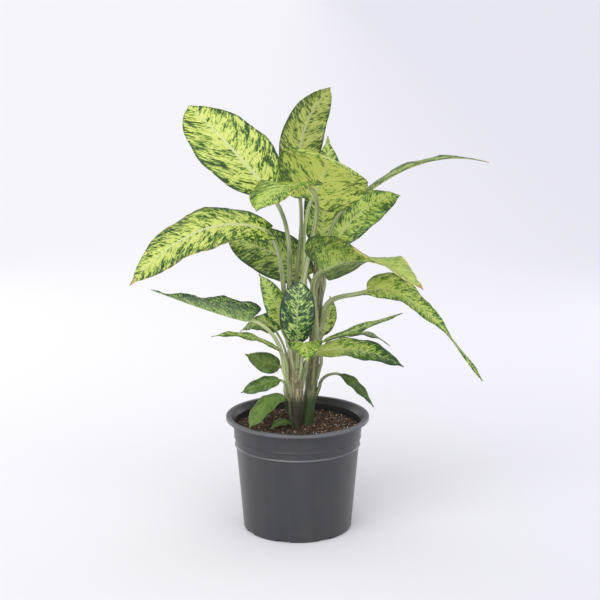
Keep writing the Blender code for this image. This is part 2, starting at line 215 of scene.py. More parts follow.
class Paint(Web):
    """The node tree of one finish."""

    def __init__(self, name: str) -> None:
        """Make the material and its empty tree.

        Args:
            name: The material's name.
        """
        self.material = bpy.data.materials.new(name)
        self.material.use_nodes = True
        super().__init__(self.material.node_tree)

    def place(self) -> Link:
        """Place on the object, in metres."""
        return self.node("ShaderNodeTexCoord", {}, {}, "Object")

    def trait(self, name: str) -> tuple[Link, Link, Link]:
        """Three numbers that a mesh carries under one name."""
        vector = self.node("ShaderNodeAttribute", {"attribute_name": name}, {}, "Vector")
        return self.split(vector)

    def split(self, vector: Link) -> tuple[Link, Link, Link]:
        """The three numbers of a vector."""
        outputs = self.node("ShaderNodeSeparateXYZ", {}, {0: vector}).socket.node.outputs
        return tuple(Link(self, outputs[k]) for k in range(3))

    def join(self, x: Any, y: Any, z: Any) -> Link:
        """A vector from three numbers."""
        return self.node("ShaderNodeCombineXYZ", {}, {0: x, 1: y, 2: z})

    def cloud(self, vector: Link, scale: float | Point, detail: float = 2.0, rough: float = 0.5,
              warp: float = 0.0) -> Link:
        """Soft noise from 0 to 1.

        Args:
            vector: Where it is read.
            scale: Swells per unit, the same in all directions or one for each.
            detail: Number of finer layers.
            rough: Weight of the finer layers.
            warp: How far the swells are bent out of line.

        Returns:
            The noise, about 0.5 on average.
        """
        if isinstance(scale, tuple):
            drawn = self.node("ShaderNodeVectorMath", {"operation": "MULTIPLY"}, {0: vector, 1: scale})
            vector, scale = drawn, 1.0
        values = {"Vector": vector, "Scale": scale, "Detail": detail, "Roughness": rough, "Distortion": warp}
        return self.node("ShaderNodeTexNoise", {}, values)

    def blend(self, share: Any, first: Any, second: Any, mode: str = "MIX") -> Link:
        """Mix two colours.

        Args:
            share: Weight of the second, from 0 to 1.
            first: Colour or link.
            second: Colour or link.
            mode: Way of mixing.

        Returns:
            The mixed colour.
        """
        colours = [c if isinstance(c, Link) else (*c, 1.0) for c in (first, second)]
        settings = {"data_type": "RGBA", "blend_type": mode, "clamp_result": True}
        values = {"Factor_Float": share, "A_Color": colours[0], "B_Color": colours[1]}
        return self.node("ShaderNodeMix", settings, values, "Result_Color")

    def relief(self, height: Link, distance: float, strength: float) -> Link:
        """Bump from a height of 0 to 1.

        Args:
            height: The height.
            distance: Depth of 1 in metres.
            strength: Weight of the bump.

        Returns:
            The bumped normal.
        """
        return self.node("ShaderNodeBump", {}, {"Height": height, "Distance": distance, "Strength": strength})

    def close(self, surface: dict, passing: Any = None, lit: Colour = (1.0, 1.0, 1.0)) -> bpy.types.Material:
        """Finish the material.

        Args:
            surface: Inputs of the surface, by name.
            passing: Share of light that passes through a thin blade, if any does.
            lit: Colour of that light.

        Returns:
            The finished material.
        """
        body = self.node("ShaderNodeBsdfPrincipled", {}, surface)
        if passing is not None:
            through = self.node("ShaderNodeBsdfTranslucent", {}, {"Color": (*lit, 1.0)})
            body = self.node("ShaderNodeMixShader", {}, {0: passing, 1: body, 2: through})
        end = self.tree.nodes.new("ShaderNodeOutputMaterial")
        self.tree.links.new(body.socket, end.inputs["Surface"])
        return self.material


class Growth(Web):
    """A Geometry Nodes tree with named sizes, which is grown into a plain mesh."""

    def __init__(self, name: str) -> None:
        """Make the tree with its geometry input and output.

        Args:
            name: The tree's name.
        """
        super().__init__(bpy.data.node_groups.new(name, "GeometryNodeTree"))
        self.values: dict[str, Any] = {}
        for way in ("INPUT", "OUTPUT"):
            self.tree.interface.new_socket("Geometry", in_out=way, socket_type="NodeSocketGeometry")
        self.inside = self.tree.nodes.new("NodeGroupInput")
        self.source = Link(self, self.inside.outputs[0])

    def given(self, **values: Any) -> list[Link]:
        """Add named inputs.

        Args:
            values: The value of each: a whole number, a number, a vector or a material.

        Returns:
            The inputs' sockets inside the tree, in the same order.
        """
        kinds = {int: "Int", float: "Float", tuple: "Vector", bpy.types.Material: "Material"}
        links = []
        for name, value in values.items():
            kind = "NodeSocket" + next(word for known, word in kinds.items() if isinstance(value, known))
            item = self.tree.interface.new_socket(name, in_out="INPUT", socket_type=kind)
            self.values[item.identifier] = value
            links.append(Link(self, self.socket(self.inside.outputs, item.identifier)))
        return links

    def grow(self, seed_mesh: bpy.types.Mesh, result: Link, material: Link) -> bpy.types.Mesh:
        """End the tree, run it on a mesh and take the result as a plain mesh.

        Args:
            seed_mesh: The mesh that it starts from.
            result: The geometry to keep.
            material: The material that it gets.

        Returns:
            The plain mesh.
        """
        real = self.node("GeometryNodeRealizeInstances", {}, {0: result})
        dressed = self.node("GeometryNodeSetMaterial", {}, {"Geometry": real, "Material": material})
        outside = self.tree.nodes.new("NodeGroupOutput")
        self.tree.links.new(dressed.socket, outside.inputs[0])
        holder = add(self.tree.name, seed_mesh)
        modifier = holder.modifiers.new(self.tree.name, "NODES")
        modifier.node_group = self.tree
        for identifier, value in self.values.items():
            modifier[identifier] = value
        holder.update_tag()
        graph = bpy.context.evaluated_depsgraph_get()
        mesh = bpy.data.meshes.new_from_object(holder.evaluated_get(graph))
        holder.modifiers.remove(modifier)
        bpy.data.objects.remove(holder)
        return mesh


# ---- pieces


def skin(rows: int, count: int, start: int = 0, ends: tuple[int, int] | None = None) -> Faces:
    """Faces of a tube of rings, seen from outside.

    Args:
        rows: Number of rings.
        count: Points in each ring.
        start: Number of the first ring's first point.
        ends: Numbers of the middle points that close the first and the last ring, if any do.

    Returns:
        Vertex numbers of each face.
    """
    pairs = [(k, (k + 1) % count) for k in range(count)]
    last = start + (rows - 1) * count
    faces = [
        (row + k, row + n, row + count + n, row + count + k)
        for row in range(start, last, count) for k, n in pairs
    ]
    if ends:
        faces += [(ends[0], start + n, start + k) for k, n in pairs]
        faces += [(ends[1], last + k, last + n) for k, n in pairs]
    return faces


def solid(points: np.ndarray, faces: Faces, name: str) -> bpy.types.Mesh:
    """Make a smooth mesh from points and faces.

    Args:
        points: One row for each vertex, in metres.
        faces: Vertex numbers of each face, seen from outside.
        name: The mesh's name.

    Returns:
        The mesh.
    """
    mesh = bpy.data.meshes.new(name)
    mesh.from_pydata([tuple(map(float, p)) for p in points], [], faces)
    mesh.shade_smooth()
    mesh.update()
    return mesh


def give_trait(mesh: bpy.types.Mesh, name: str, values: np.ndarray) -> None:
    """Store three numbers for each vertex under one name."""
    layer = mesh.attributes.new(name, "FLOAT_VECTOR", "POINT")
    layer.data.foreach_set("vector", np.ascontiguousarray(values, np.float32).ravel())


def beside(*parts: Any) -> np.ndarray:
    """Numbers side by side for each vertex, spread to one shape first."""
    return np.stack(np.broadcast_arrays(*parts), axis=-1)


def put(mesh: bpy.types.Mesh, name: str, material: bpy.types.Material, slot: Slot, *nodes: str) -> None:
    """Place a finished mesh in the scene under its body, hide the CAD nodes that it replaces and log its
    finish's slot.

    Args:
        mesh: The finished mesh.
        name: The piece's name.
        material: Its finish.
        slot: The record's slot of that finish.
        nodes: CAD nodes that the piece replaces.
    """
    piece = add(name, mesh)
    mesh.materials.clear()
    mesh.materials.append(material)
    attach(piece, BODY)
    if nodes:
        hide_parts(*nodes)
    LOG.info("%s: %d faces, %s", name, len(mesh.polygons), slot.value)


def unit(vectors: np.ndarray) -> np.ndarray:
    """Vectors of length 1, along the last axis."""
    return vectors / np.linalg.norm(vectors, axis=-1, keepdims=True)


def smooth(values: np.ndarray, low: float, high: float) -> np.ndarray:
    """Smooth step from 0 at low to 1 at high."""
    share = np.clip((values - low) / (high - low), 0, 1)
    return share * share * (3 - 2 * share)


# ---- leaves


@dataclass(frozen=True)
class LeafFinish:
    """A variegated leaf: lime flecks drawn out along the veins over green, duller below."""

    name: str
    deep: Colour = srgb(30, 68, 30)
    green: Colour = srgb(56, 106, 40)
    fresh: Colour = srgb(104, 152, 54)
    lime: Colour = srgb(190, 216, 86)
    pale: Colour = srgb(236, 244, 150)
    rib: Colour = srgb(234, 238, 202)
    under: Colour = srgb(186, 190, 122)
    stalk: Colour = srgb(182, 190, 144)
    stalk_shade: Colour = srgb(114, 129, 80)
    yellow: Colour = srgb(238, 206, 104)
    dry: Colour = srgb(196, 132, 92)
    foot: Colour = srgb(50, 49, 36)  # painted shade on a stalk near the soil, under the leaves
    foot_shade_top: float = 0.194
    foot_shade_blur: float = 0.022
    lit: Colour = (0.84, 0.88, 0.42)  # light that has come through a blade
    roughness: float = 0.36
    glow: float = 0.50  # share of light that comes through a lime fleck
    shade_share: float = 0.25  # what a green fleck lets through beside a lime one
    rib_share: float = 0.85
    rib_width: float = 0.0024
    contrast: float = 7.0
    fleck: Point = (330.0, 95.0, 1.0)  # swells per metre across and along the veins
    patch: Point = (80.0, 42.0, 1.0)
    speck: Point = (900.0, 300.0, 1.0)
    streak: Point = (30.0, 1500.0, 1.0)  # along and round the stalk
    weights: Point = (0.54, 0.26, 0.20)  # of fleck, patch and speck
    threshold: float = 0.50
    warp: float = 0.6  # how ragged the flecks are
    own_pull: float = 0.30  # how much a leaf's own share of lime counts
    middle_pull: float = 0.06  # how much limer the middle of a blade is
    margin_pull: float = 0.07  # how much greener its edge is
    stops: tuple[float, ...] = (0.0, 0.26, 0.42, 0.54, 0.68, 0.90, 1.0)  # from deep to pale
    under_share: Span = (0.10, 0.50)  # of the dull lower side, over green and over lime
    # depth of the painted shade on a stalk near the soil
    foot_shade_share: float = 0.82
    grit: float = 0.0002  # depth of the specks

    def pattern(self, web: Paint, flow: Link, out: Link, lime_share: Link) -> tuple[Link, Link, Link]:
        """Lay the lime pattern.

        Args:
            web: The finish's tree.
            flow: Place across and along the veins.
            out: Share of the way from midrib to margin.
            lime_share: The leaf's own share of lime.

        Returns:
            The pattern, above 0 where it is lime, and the patches and specks in it.
        """
        fleck = web.cloud(flow, self.fleck, 2.0, 0.55, self.warp)
        patch = web.cloud(flow, self.patch)
        speck = web.cloud(flow, self.speck, 1.0)
        level = self.weights[0] * fleck + self.weights[1] * patch + self.weights[2] * speck - self.threshold
        level = level + self.own_pull * (lime_share - 0.5)
        level = level + self.middle_pull * (0.5 - out.rise(0.1, 0.9)) - self.margin_pull * out.rise(0.88, 1.0)
        return level, patch, speck

    def petiole(self, web: Paint, flow: Link) -> Link:
        """Streak the stalk, and paint shade on it near the soil.

        Args:
            web: The finish's tree.
            flow: Place along and round the stalk.

        Returns:
            The stalk's colour.
        """
        streak = web.cloud(flow, self.streak)
        colour = web.blend(streak.rise(0.35, 0.65), self.stalk_shade, self.stalk)
        # painted shade on the stalk near the soil, ragged along the streaks
        height = web.split(web.place())[2] + 0.02 * (streak - 0.5)
        low = 1 - height.rise(self.foot_shade_top - self.foot_shade_blur, self.foot_shade_top)
        return web.blend(low * self.foot_shade_share, colour, self.foot)

    def build(self) -> bpy.types.Material:
        """Build the material.

        Returns:
            The finished material.
        """
        web = Paint(self.name)
        flow = web.node("ShaderNodeAttribute", {"attribute_name": "flow"}, {}, "Vector")
        along, across, rib_gap = web.trait("place")
        lime_share, yellowing, dryness = web.trait("habit")
        below, stalk, tone = web.trait("side")
        out = across.size()
        level, patch, speck = self.pattern(web, flow, out, lime_share)
        limed = level.rise(-0.05, 0.05)
        hues = (self.deep, self.green, self.fresh, self.lime, self.lime, self.pale, self.pale)
        tones = {"stops": list(zip(self.stops, hues))}
        colour = web.node("ShaderNodeValToRGB", tones, {0: level * self.contrast + 0.5})
        over_green, over_lime = self.under_share
        dull = below * (over_green + (over_lime - over_green) * limed)
        colour = web.blend(dull, colour, self.under)
        width = self.rib_width * (1 - along) ** 0.8
        rib = 1 - rib_gap.rise(0.3 * width, width)
        colour = web.blend(self.rib_share * rib * (1 - 0.40 * below), colour, self.rib)
        edge = out.rise(0.95 - 0.22 * yellowing, 1.0) * patch.rise(0.42, 0.54) * along.rise(0.25, 0.6)
        colour = web.blend(edge * yellowing, colour, self.yellow)
        bleached = (yellowing - 0.6) * 2.0 * along.rise(0.40, 0.75)
        colour = web.blend(bleached.rise(0.0, 1.0) * 0.50, colour, self.pale)
        tip = (along + 0.02 * speck).rise(1.0 - 0.05 * dryness, 1.02 - 0.03 * dryness)
        colour = web.blend(tip * dryness, colour, self.dry)
        colour = web.blend(stalk, colour, self.petiole(web, flow))
        # the tone scales the colour and the light let through: partly the leaf's own lightness, partly
        # painted light and shade
        surface = {
            "Base Color": web.blend(1.0, colour, web.join(tone, tone, tone), "MULTIPLY"),
            "Roughness": self.roughness + 0.14 * below + 0.12 * (speck - 0.5),
            "Normal": web.relief(speck, self.grit, 0.5),
        }
        open_share = self.shade_share + (1 - self.shade_share) * limed
        return web.close(surface, self.glow * (1 - stalk) * open_share * tone, self.lit)


@dataclass(frozen=True)
class Leaf:
    """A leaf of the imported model, with its habit. Angles are in degrees, lengths in metres."""

    name: str
    cane: str
    node: float  # height of the petiole's foot
    azimuth: float  # side of the cane: 0 is towards -Y, 90 towards +X
    base: Point  # the midrib's start,
    crest: Point  # its middle
    tip: Point  # and its end
    width: float
    face: Point  # where the upper face looks at the base
    tip_face: Point | None = None  # and at the tip, where the blade twists
    stalk: float = 0.0022
    fold: float = 12.0
    curl: float = 0.15
    lobe: float = 0.14
    shoulder: float = 0.55
    taper: float = 0.85
    skew: float = 0.0  # how far one half of the blade stands behind the other
    spur: float = 0.05  # share of the blade that is its drawn-out point
    rise: float = 0.45
    reach: float = 0.35
    wave: float = 0.0025
    waves: float = 3.0
    slot: Slot = Slot.LEAF_GREEN
    lime: float = 0.5  # share of the blade that is lime
    yellow: float = 0.0  # yellowing of the margin
    dry: float = 0.0  # browning of the tip
    tone: float = 1.0  # overall lightness: partly the leaf's own, partly painted light and shade for how brightly it is lit
    fade: float = 0.0  # how much less lime the outer half is than the inner one
    plain: bool = False  # an old leaf that has lost its pattern
    fine: float = 1.0  # how much smaller its flecks are than its finish gives


LEAVES = (
    Leaf("high_left", "left", 0.290, -130, (-0.038, 0.012, 0.452), (-0.088, 0.012, 0.510),
         (-0.140, 0.030, 0.560), 0.092, (0.25, -0.85, 0.5), stalk=0.0028, fold=8, curl=0.05, lobe=0.05,
         shoulder=0.45, taper=0.6, skew=0.3, spur=0.02, slot=Slot.LEAF_LIME, lime=0.56),
    Leaf("top", "left", 0.303, -175, (0.003, 0.030, 0.442), (0.007, 0.034, 0.522), (0.042, 0.022, 0.584),
         0.056, (-0.05, 0.95, 0.25), stalk=0.0024, fold=8, shoulder=0.5, taper=0.6, spur=0.02,
         slot=Slot.LEAF_LIME, lime=0.54, dry=0.5, tone=0.76, fine=1.2),
    Leaf("over_crown", "left", 0.285, 105, (0.020, 0.020, 0.442), (0.037, -0.025, 0.492),
         (0.030, -0.085, 0.507), 0.122, (0.40, 0.35, 0.9), stalk=0.0026, fold=4, curl=0.2, shoulder=0.45,
         taper=0.55, spur=0.02, slot=Slot.LEAF_LIME, lime=0.62, tone=1.45),
    Leaf("forward_left", "left", 0.275, 10, (0.010, -0.045, 0.467), (-0.020, -0.085, 0.470),
         (-0.050, -0.125, 0.447), 0.082, (-0.4, -0.45, 0.8), stalk=0.0030, curl=0.1, shoulder=0.4, taper=0.6,
         spur=0.03, lime=0.52, yellow=0.5, tone=1.15, fine=1.4),
    Leaf("back_upright", "right", 0.355, 175, (0.030, 0.055, 0.373), (0.038, 0.078, 0.443),
         (0.041, 0.115, 0.511), 0.056, (0, -0.9, 0.4), stalk=0.0024),
    Leaf("back_right", "right", 0.325, 130, (0.052, 0.022, 0.383), (0.087, 0.038, 0.423),
         (0.136, 0.060, 0.438), 0.052, (0.1, -0.8, 0.6), taper=0.7, spur=0.03, tone=1.08, fine=1.3),
    Leaf("far_right", "right", 0.370, 85, (0.092, 0.018, 0.452), (0.171, 0.026, 0.489), (0.249, 0.030, 0.486),
         0.050, (-0.2, 0.05, 1), fold=14, curl=0.1, wave=0.0015, lime=0.45, dry=1.0),
    Leaf("drooping_left", "left", 0.268, -80, (-0.043, -0.030, 0.408), (-0.126, -0.052, 0.409),
         (-0.210, -0.080, 0.346), 0.074, (-0.1, -0.55, 0.85), stalk=0.0028, fold=8, curl=0.1, lobe=0.3,
         shoulder=0.5, taper=0.6, spur=0.03, rise=0.2, reach=0.2, slot=Slot.LEAF_LIME, lime=0.55, yellow=0.45,
         dry=0.8, fine=1.4),
    Leaf("behind_left", "left", 0.255, 155, (0.012, 0.032, 0.336), (-0.032, 0.050, 0.362),
         (-0.096, 0.062, 0.383), 0.066, (-0.1, -0.9, 0.45), taper=0.55, spur=0.03, rise=0.25, lime=0.45,
         tone=0.8, fine=1.1),
    Leaf("young_left", "shoot", 0.240, -90, (-0.020, -0.028, 0.278), (-0.031, -0.030, 0.318),
         (-0.050, -0.026, 0.350), 0.030, (0.2, -0.95, 0.2), stalk=0.0018, wave=0.0012, lime=0.52, tone=0.95,
         fine=1.3),
    Leaf("young_front", "shoot", 0.246, -10, (-0.001, -0.045, 0.268), (0.000, -0.052, 0.308),
         (0.003, -0.040, 0.345), 0.046, (0, -1, 0.1), stalk=0.0018, shoulder=0.45, taper=0.5, wave=0.0015,
         slot=Slot.LEAF_DARK, lime=0.4),
    Leaf("front_tongue", "shoot", 0.228, 25, (0.007, -0.054, 0.264), (0.010, -0.085, 0.270),
         (0.013, -0.115, 0.256), 0.045, (0, -0.25, 0.95), stalk=0.0016, fold=14, wave=0.0015, lime=0.55,
         fine=1.5),
    Leaf("young_right", "right", 0.215, 150, (0.034, 0.026, 0.258), (0.042, 0.030, 0.284),
         (0.043, 0.030, 0.308), 0.022, (0.1, -0.95, 0.2), stalk=0.0016, wave=0.0012, fine=1.3),
    Leaf("drooping_right", "right", 0.285, 50, (0.090, -0.030, 0.328), (0.153, -0.052, 0.315),
         (0.236, -0.070, 0.219), 0.064, (0.2, -0.45, 0.85), stalk=0.0030, fold=25, shoulder=0.5, taper=2.0,
         lime=0.53, fade=0.25, fine=1.3),
    Leaf("twisted_right", "right", 0.270, 0, (0.033, -0.030, 0.356), (0.091, -0.060, 0.374),
         (0.156, -0.100, 0.345), 0.112, (-0.15, 0.85, 0.5), tip_face=(0.2, -0.35, 0.9), stalk=0.0032, fold=30,
         shoulder=0.3, taper=0.8, yellow=1.0, dry=1.0, tone=0.95, fade=-0.1, fine=1.25),
    Leaf("folded_left", "left", 0.215, -80, (-0.065, 0.005, 0.282), (-0.120, 0.012, 0.295),
         (-0.193, 0.020, 0.319), 0.072, (0, 0.1, 1), stalk=0.0024, fold=55, lobe=0.25, shoulder=0.32,
         taper=1.0, slot=Slot.LEAF_DARK, lime=0.42, tone=1.5, fine=1.7),
    Leaf("narrow_left", "left", 0.205, -45, (-0.025, -0.020, 0.248), (-0.068, -0.030, 0.269),
         (-0.111, -0.040, 0.270), 0.028, (0, -0.1, 1), stalk=0.0016, wave=0.0012, tone=1.05, fine=1.5),
    Leaf("small_back_left", "left", 0.205, -140, (-0.030, 0.030, 0.262), (-0.050, 0.045, 0.270),
         (-0.078, 0.060, 0.252), 0.032, (-0.1, -0.6, 0.8), stalk=0.0016, wave=0.0012, lime=0.4),
    Leaf("low_left", "left", 0.186, -105, (-0.026, -0.002, 0.221), (-0.046, -0.006, 0.228),
         (-0.069, -0.010, 0.239), 0.028, (0, -0.9, 0.45), stalk=0.0016, wave=0.0012, lime=0.35, tone=0.9,
         plain=True),
    Leaf("lower_left", "left", 0.175, -65, (-0.024, -0.012, 0.204), (-0.045, -0.016, 0.200),
         (-0.074, -0.022, 0.190), 0.022, (-0.1, -0.7, 0.7), stalk=0.0016, lobe=0.05, taper=0.5, wave=0.0012,
         slot=Slot.LEAF_DARK, lime=0.25, plain=True),
    Leaf("lowest_left", "left", 0.160, -30, (-0.019, -0.020, 0.184), (-0.042, -0.032, 0.176),
         (-0.063, -0.050, 0.149), 0.034, (-0.5, -0.5, 0.7), stalk=0.0016, taper=0.5, wave=0.0012, plain=True),
    Leaf("at_soil", "left", 0.145, -20, (-0.010, -0.022, 0.149), (-0.022, -0.032, 0.153),
         (-0.035, -0.045, 0.148), 0.016, (0, -0.4, 0.9), stalk=0.0014, wave=0.001, slot=Slot.LEAF_DARK,
         lime=0.2, plain=True),
    Leaf("low_right", "right", 0.190, 80, (0.058, 0.008, 0.206), (0.080, 0.005, 0.190), (0.101, 0.000, 0.164),
         0.018, (0.1, -0.5, 0.9), stalk=0.0018, lobe=0.05, wave=0.0012, slot=Slot.LEAF_DARK, lime=0.15,
         tone=0.9, plain=True),
    Leaf("mid_right", "shoot", 0.230, 75, (0.022, -0.032, 0.245), (0.078, -0.046, 0.254),
         (0.136, -0.060, 0.235), 0.044, (0.1, -0.4, 0.9), stalk=0.0018, fold=20, taper=0.6, wave=0.0018,
         tone=0.75, fade=0.8, fine=1.2),
    Leaf("slim_right", "left", 0.215, 70, (0.036, -0.008, 0.257), (0.088, 0.000, 0.274),
         (0.138, 0.008, 0.290), 0.024, (0, -0.1, 1), stalk=0.0018, wave=0.0012, waves=2, lime=0.45, tone=1.15,
         fine=1.6),
    Leaf("arched_right", "right", 0.220, 100, (0.050, 0.016, 0.256), (0.090, 0.022, 0.259),
         (0.123, 0.030, 0.240), 0.024, (0, -0.1, 1), stalk=0.0016, wave=0.0012, lime=0.35, tone=1.1,
         fine=1.5),
)


@dataclass(frozen=True)
class Ring:
    """A level of a cane: where its centre stands and how thick it is."""

    x: float
    y: float
    z: float
    radius: float


CANES = {
    "left": (
        Ring(-0.004, -0.006, 0.070, 0.0075), Ring(-0.004, -0.006, 0.139, 0.0085),
        Ring(-0.003, -0.006, 0.175, 0.0115), Ring(-0.003, -0.006, 0.235, 0.0110),
        Ring(-0.002, -0.002, 0.275, 0.0095), Ring(-0.001, 0.002, 0.315, 0.0070),
    ),
    "right": (
        Ring(0.0125, 0.008, 0.070, 0.0075), Ring(0.0125, 0.008, 0.139, 0.0080),
        Ring(0.0190, 0.010, 0.200, 0.0085), Ring(0.0235, 0.012, 0.260, 0.0080),
        Ring(0.0260, 0.012, 0.310, 0.0075), Ring(0.0270, 0.014, 0.345, 0.0070),
        Ring(0.0290, 0.018, 0.385, 0.0060),
    ),
    "shoot": (
        Ring(-0.002, -0.010, 0.190, 0.0040), Ring(0.000, -0.022, 0.208, 0.0055),
        Ring(0.001, -0.031, 0.226, 0.0060), Ring(0.002, -0.034, 0.252, 0.0050),
    ),
}


def cane_level(cane: str, height: float) -> tuple[np.ndarray, float]:
    """Centre and radius of a cane at a height.

    Args:
        cane: The cane's name.
        height: Height in metres.

    Returns:
        The centre, and the radius.
    """
    rings = CANES[cane]
    heights = [ring.z for ring in rings]
    x, y, radius = (
        float(np.interp(height, heights, [getattr(ring, part) for ring in rings]))
        for part in ("x", "y", "radius")
    )
    return np.array((x, y, height)), radius


def bezier(handles: tuple, t: np.ndarray) -> np.ndarray:
    """Points of a Bezier curve of any degree.

    Args:
        handles: Its handles.
        t: Places along it, from 0 to 1.

    Returns:
        One row for each t.
    """
    rows = [np.asarray(h, float)[None, :] + 0 * t[:, None] for h in handles]
    while len(rows) > 1:
        rows = [a + (b - a) * t[:, None] for a, b in zip(rows, rows[1:])]
    return rows[0]


def bezier_direction(handles: tuple, t: np.ndarray) -> np.ndarray:
    """Directions of a Bezier curve, one row for each t."""
    steps = tuple(np.subtract(b, a) for a, b in zip(handles, handles[1:]))
    return unit(bezier(steps, t))


class Blade:
    """The mesh of one leaf, from the heel of its petiole to the tip of its blade."""

    STEP = 0.0021  # between rows along the blade
    COLUMN = 0.0017  # between columns across it
    LEAST_ROWS = 24
    LEAST_COLUMNS = 5  # on each half
    CROWDING = 1.15  # how much closer the columns stand at the midrib
    PETIOLE_STEP = 0.004
    PETIOLE_LEAST = 6
    THICKNESS = 0.0007
    MARGIN_THINNING = 0.45
    TIP_HALF_WIDTH = 0.0008
    SPUR_WIDTH = 0.05  # half width of the drawn-out point beside the blade's width
    OPENING = 0.35  # how much of the fold is lost towards the tip
    CREASE = 0.06  # how soft the fold along the midrib is
    MARGIN_OFFSET = 1.9  # turn by which one margin's waves lag behind the other's
    RIPPLES = ((0.18, 2.7, 1), (0.10, 5.3, 2))  # height and pace beside the wave's, and share of the seed
    VEIN_LEAN = 0.75  # how far a vein runs forward for each step outward
    VEIN_SWEEP = 5.5  # and how it turns towards the tip, per metre
    VEIN_PITCH = 0.0075  # on a blade as wide as WIDE
    VEIN_DEPTH = 0.00022
    VEIN_START = (0.0005, 0.005)  # where the veins rise, in metres from the midrib
    VEIN_END = (0.75, 1.0)  # and where they fade, as a share of the way to the margin
    WIDE = 0.08
    GROOVE_DEPTH = 0.0004  # along the midrib, on the upper face
    GROOVE_WIDTH = 0.0012
    RIB_HEIGHT = 1.1  # under the blade, beside the stalk's radius
    RIB_WIDTH = 0.9
    RIB_LEAST = 0.0002
    NECK = 0.03  # share of the blade over which the petiole flattens
    NECK_ROUND = 0.8  # how round the blade's first rings are
    HALF_SHIFT = 31.7  # sets the pattern of one half apart from the other's
    STREAK_TURN = 0.012  # pattern length once round the stalk
    FOOT_FLARE = 1.35
    FOOT_TAPER = 1.6  # how soon the flare is lost up the stalk
    STALK_GAP = 0.0006
    HEEL = 0.020  # how far the foot's sheath runs down the cane
    HEEL_END = 0.12
    HEEL_RINGS = 7
    HEEL_SINK = 1.7  # how far the heel's end is sunk, beside the foot's radius
    HEEL_FLARE = 1.08

    def __init__(self, leaf: Leaf, seed: float) -> None:
        """Lay out the midrib and the columns.

        Args:
            leaf: The leaf's sizes.
            seed: Number that shifts its pattern.
        """
        self.leaf = leaf
        self.seed = seed
        base, crest, tip = (np.array(p, float) for p in (leaf.base, leaf.crest, leaf.tip))
        self.midrib = (base, 2 * crest - (base + tip) / 2, tip)
        self.length = np.linalg.norm(crest - base) + np.linalg.norm(tip - crest)
        self.base_side = unit(np.cross(crest - base, leaf.face))
        self.tip_side = unit(np.cross(tip - crest, leaf.tip_face or leaf.face))
        half = max(self.LEAST_COLUMNS, round(leaf.width / 2 / self.COLUMN))
        even = np.linspace(-1, 1, 2 * half + 1)
        self.columns = np.sign(even) * np.abs(even) ** self.CROWDING
        self.rows = max(self.LEAST_ROWS, round(self.length / self.STEP))

    def side(self, t: np.ndarray) -> np.ndarray:
        """Directions across the blade, turned evenly from base to tip.

        Args:
            t: Places along the midrib.

        Returns:
            One row for each t.
        """
        turn = math.acos(min(1.0, float(self.base_side @ self.tip_side)))
        if turn < 1e-4:
            return np.repeat(self.base_side[None, :], len(t), axis=0)
        first = np.sin((1 - t) * turn)[:, None] * self.base_side
        return unit(first + np.sin(t * turn)[:, None] * self.tip_side)

    def half_width(self, t: np.ndarray) -> np.ndarray:
        """Distance from midrib to margin, largest where shoulder and taper balance.

        Args:
            t: Places along the midrib.

        Returns:
            One distance for each t.
        """
        leaf = self.leaf
        widest = leaf.shoulder / (leaf.shoulder + leaf.taper)
        peak = widest**leaf.shoulder * (1 - widest) ** leaf.taper
        inner = np.minimum(t / (1 - leaf.spur), 1)
        body = leaf.width / 2 * inner**leaf.shoulder * (1 - inner) ** leaf.taper / peak
        point = self.SPUR_WIDTH * leaf.width * np.minimum((1 - t) / leaf.spur, 1)
        return np.maximum(np.maximum(body, point), self.TIP_HALF_WIDTH)

    def blade_rings(self) -> tuple[np.ndarray, dict[str, np.ndarray]]:
        """Rings round the blade with what its pattern reads.

        Returns:
            Points by row and column, and the traits by name.
        """
        leaf = self.leaf
        u = np.arange(1, self.rows + 1) / self.rows
        t = 0.45 * u + 0.275 * (1 - np.cos(np.pi * u))  # closer rows at both ends
        s = self.columns
        centre, along, side = bezier(self.midrib, t), bezier_direction(self.midrib, t), self.side(t)
        normal = unit(np.cross(side, along))
        half = self.half_width(t)[:, None]
        rows, out = t[:, None], np.abs(s)[None, :]
        soft = np.sqrt(out**2 + self.CREASE**2) - self.CREASE
        fold = np.radians(leaf.fold) * (1 - self.OPENING * rows)
        swing = leaf.wave * np.sin(np.pi * np.minimum(rows, 0.9999)) ** 0.6
        turn = 2 * np.pi * leaf.waves * rows + np.where(s > 0, 0, self.MARGIN_OFFSET)[None, :]
        ripple = sum(size * np.sin(pace * turn + part * self.seed) for size, pace, part in self.RIPPLES)
        gap = half * out
        reach = np.concatenate(([0], np.cumsum(np.linalg.norm(np.diff(centre, axis=0), axis=1))))
        start = reach[:, None] - self.VEIN_LEAN * gap - self.VEIN_SWEEP * gap**2
        quiet = smooth(gap, *self.VEIN_START) * (1 - smooth(out, *self.VEIN_END))
        pitch = self.VEIN_PITCH * (0.5 + 0.5 * leaf.width / self.WIDE)
        veins = self.VEIN_DEPTH * quiet * (np.cos(2 * np.pi * start / pitch) ** 3)
        groove = self.GROOVE_DEPTH * (1 - rows) * np.exp(-((gap / self.GROOVE_WIDTH) ** 2))
        lift = half * (soft * np.sin(fold) - leaf.curl * out**2)
        lift = lift + swing * out**1.6 * (np.sin(turn) + ripple) + veins - groove
        back = leaf.lobe * leaf.width * out**2 * (1 - rows) ** 3 + leaf.skew * half * s[None, :]
        grid = (
            centre[:, None, :]
            + side[:, None, :] * (half * s[None, :] * np.cos(fold))[..., None]
            + normal[:, None, :] * lift[..., None]
            - along[:, None, :] * back[..., None]
        )
        down = np.gradient(grid, axis=0)
        facing = unit(np.cross(np.gradient(grid, axis=1), down))
        thick = self.THICKNESS * (1 - self.MARGIN_THINNING * out**4)
        rib_height = leaf.stalk * self.RIB_HEIGHT * (1 - rows) ** 1.2 + self.RIB_LEAST
        rib = rib_height * np.exp(-((gap / (leaf.stalk * self.RIB_WIDTH)) ** 2))
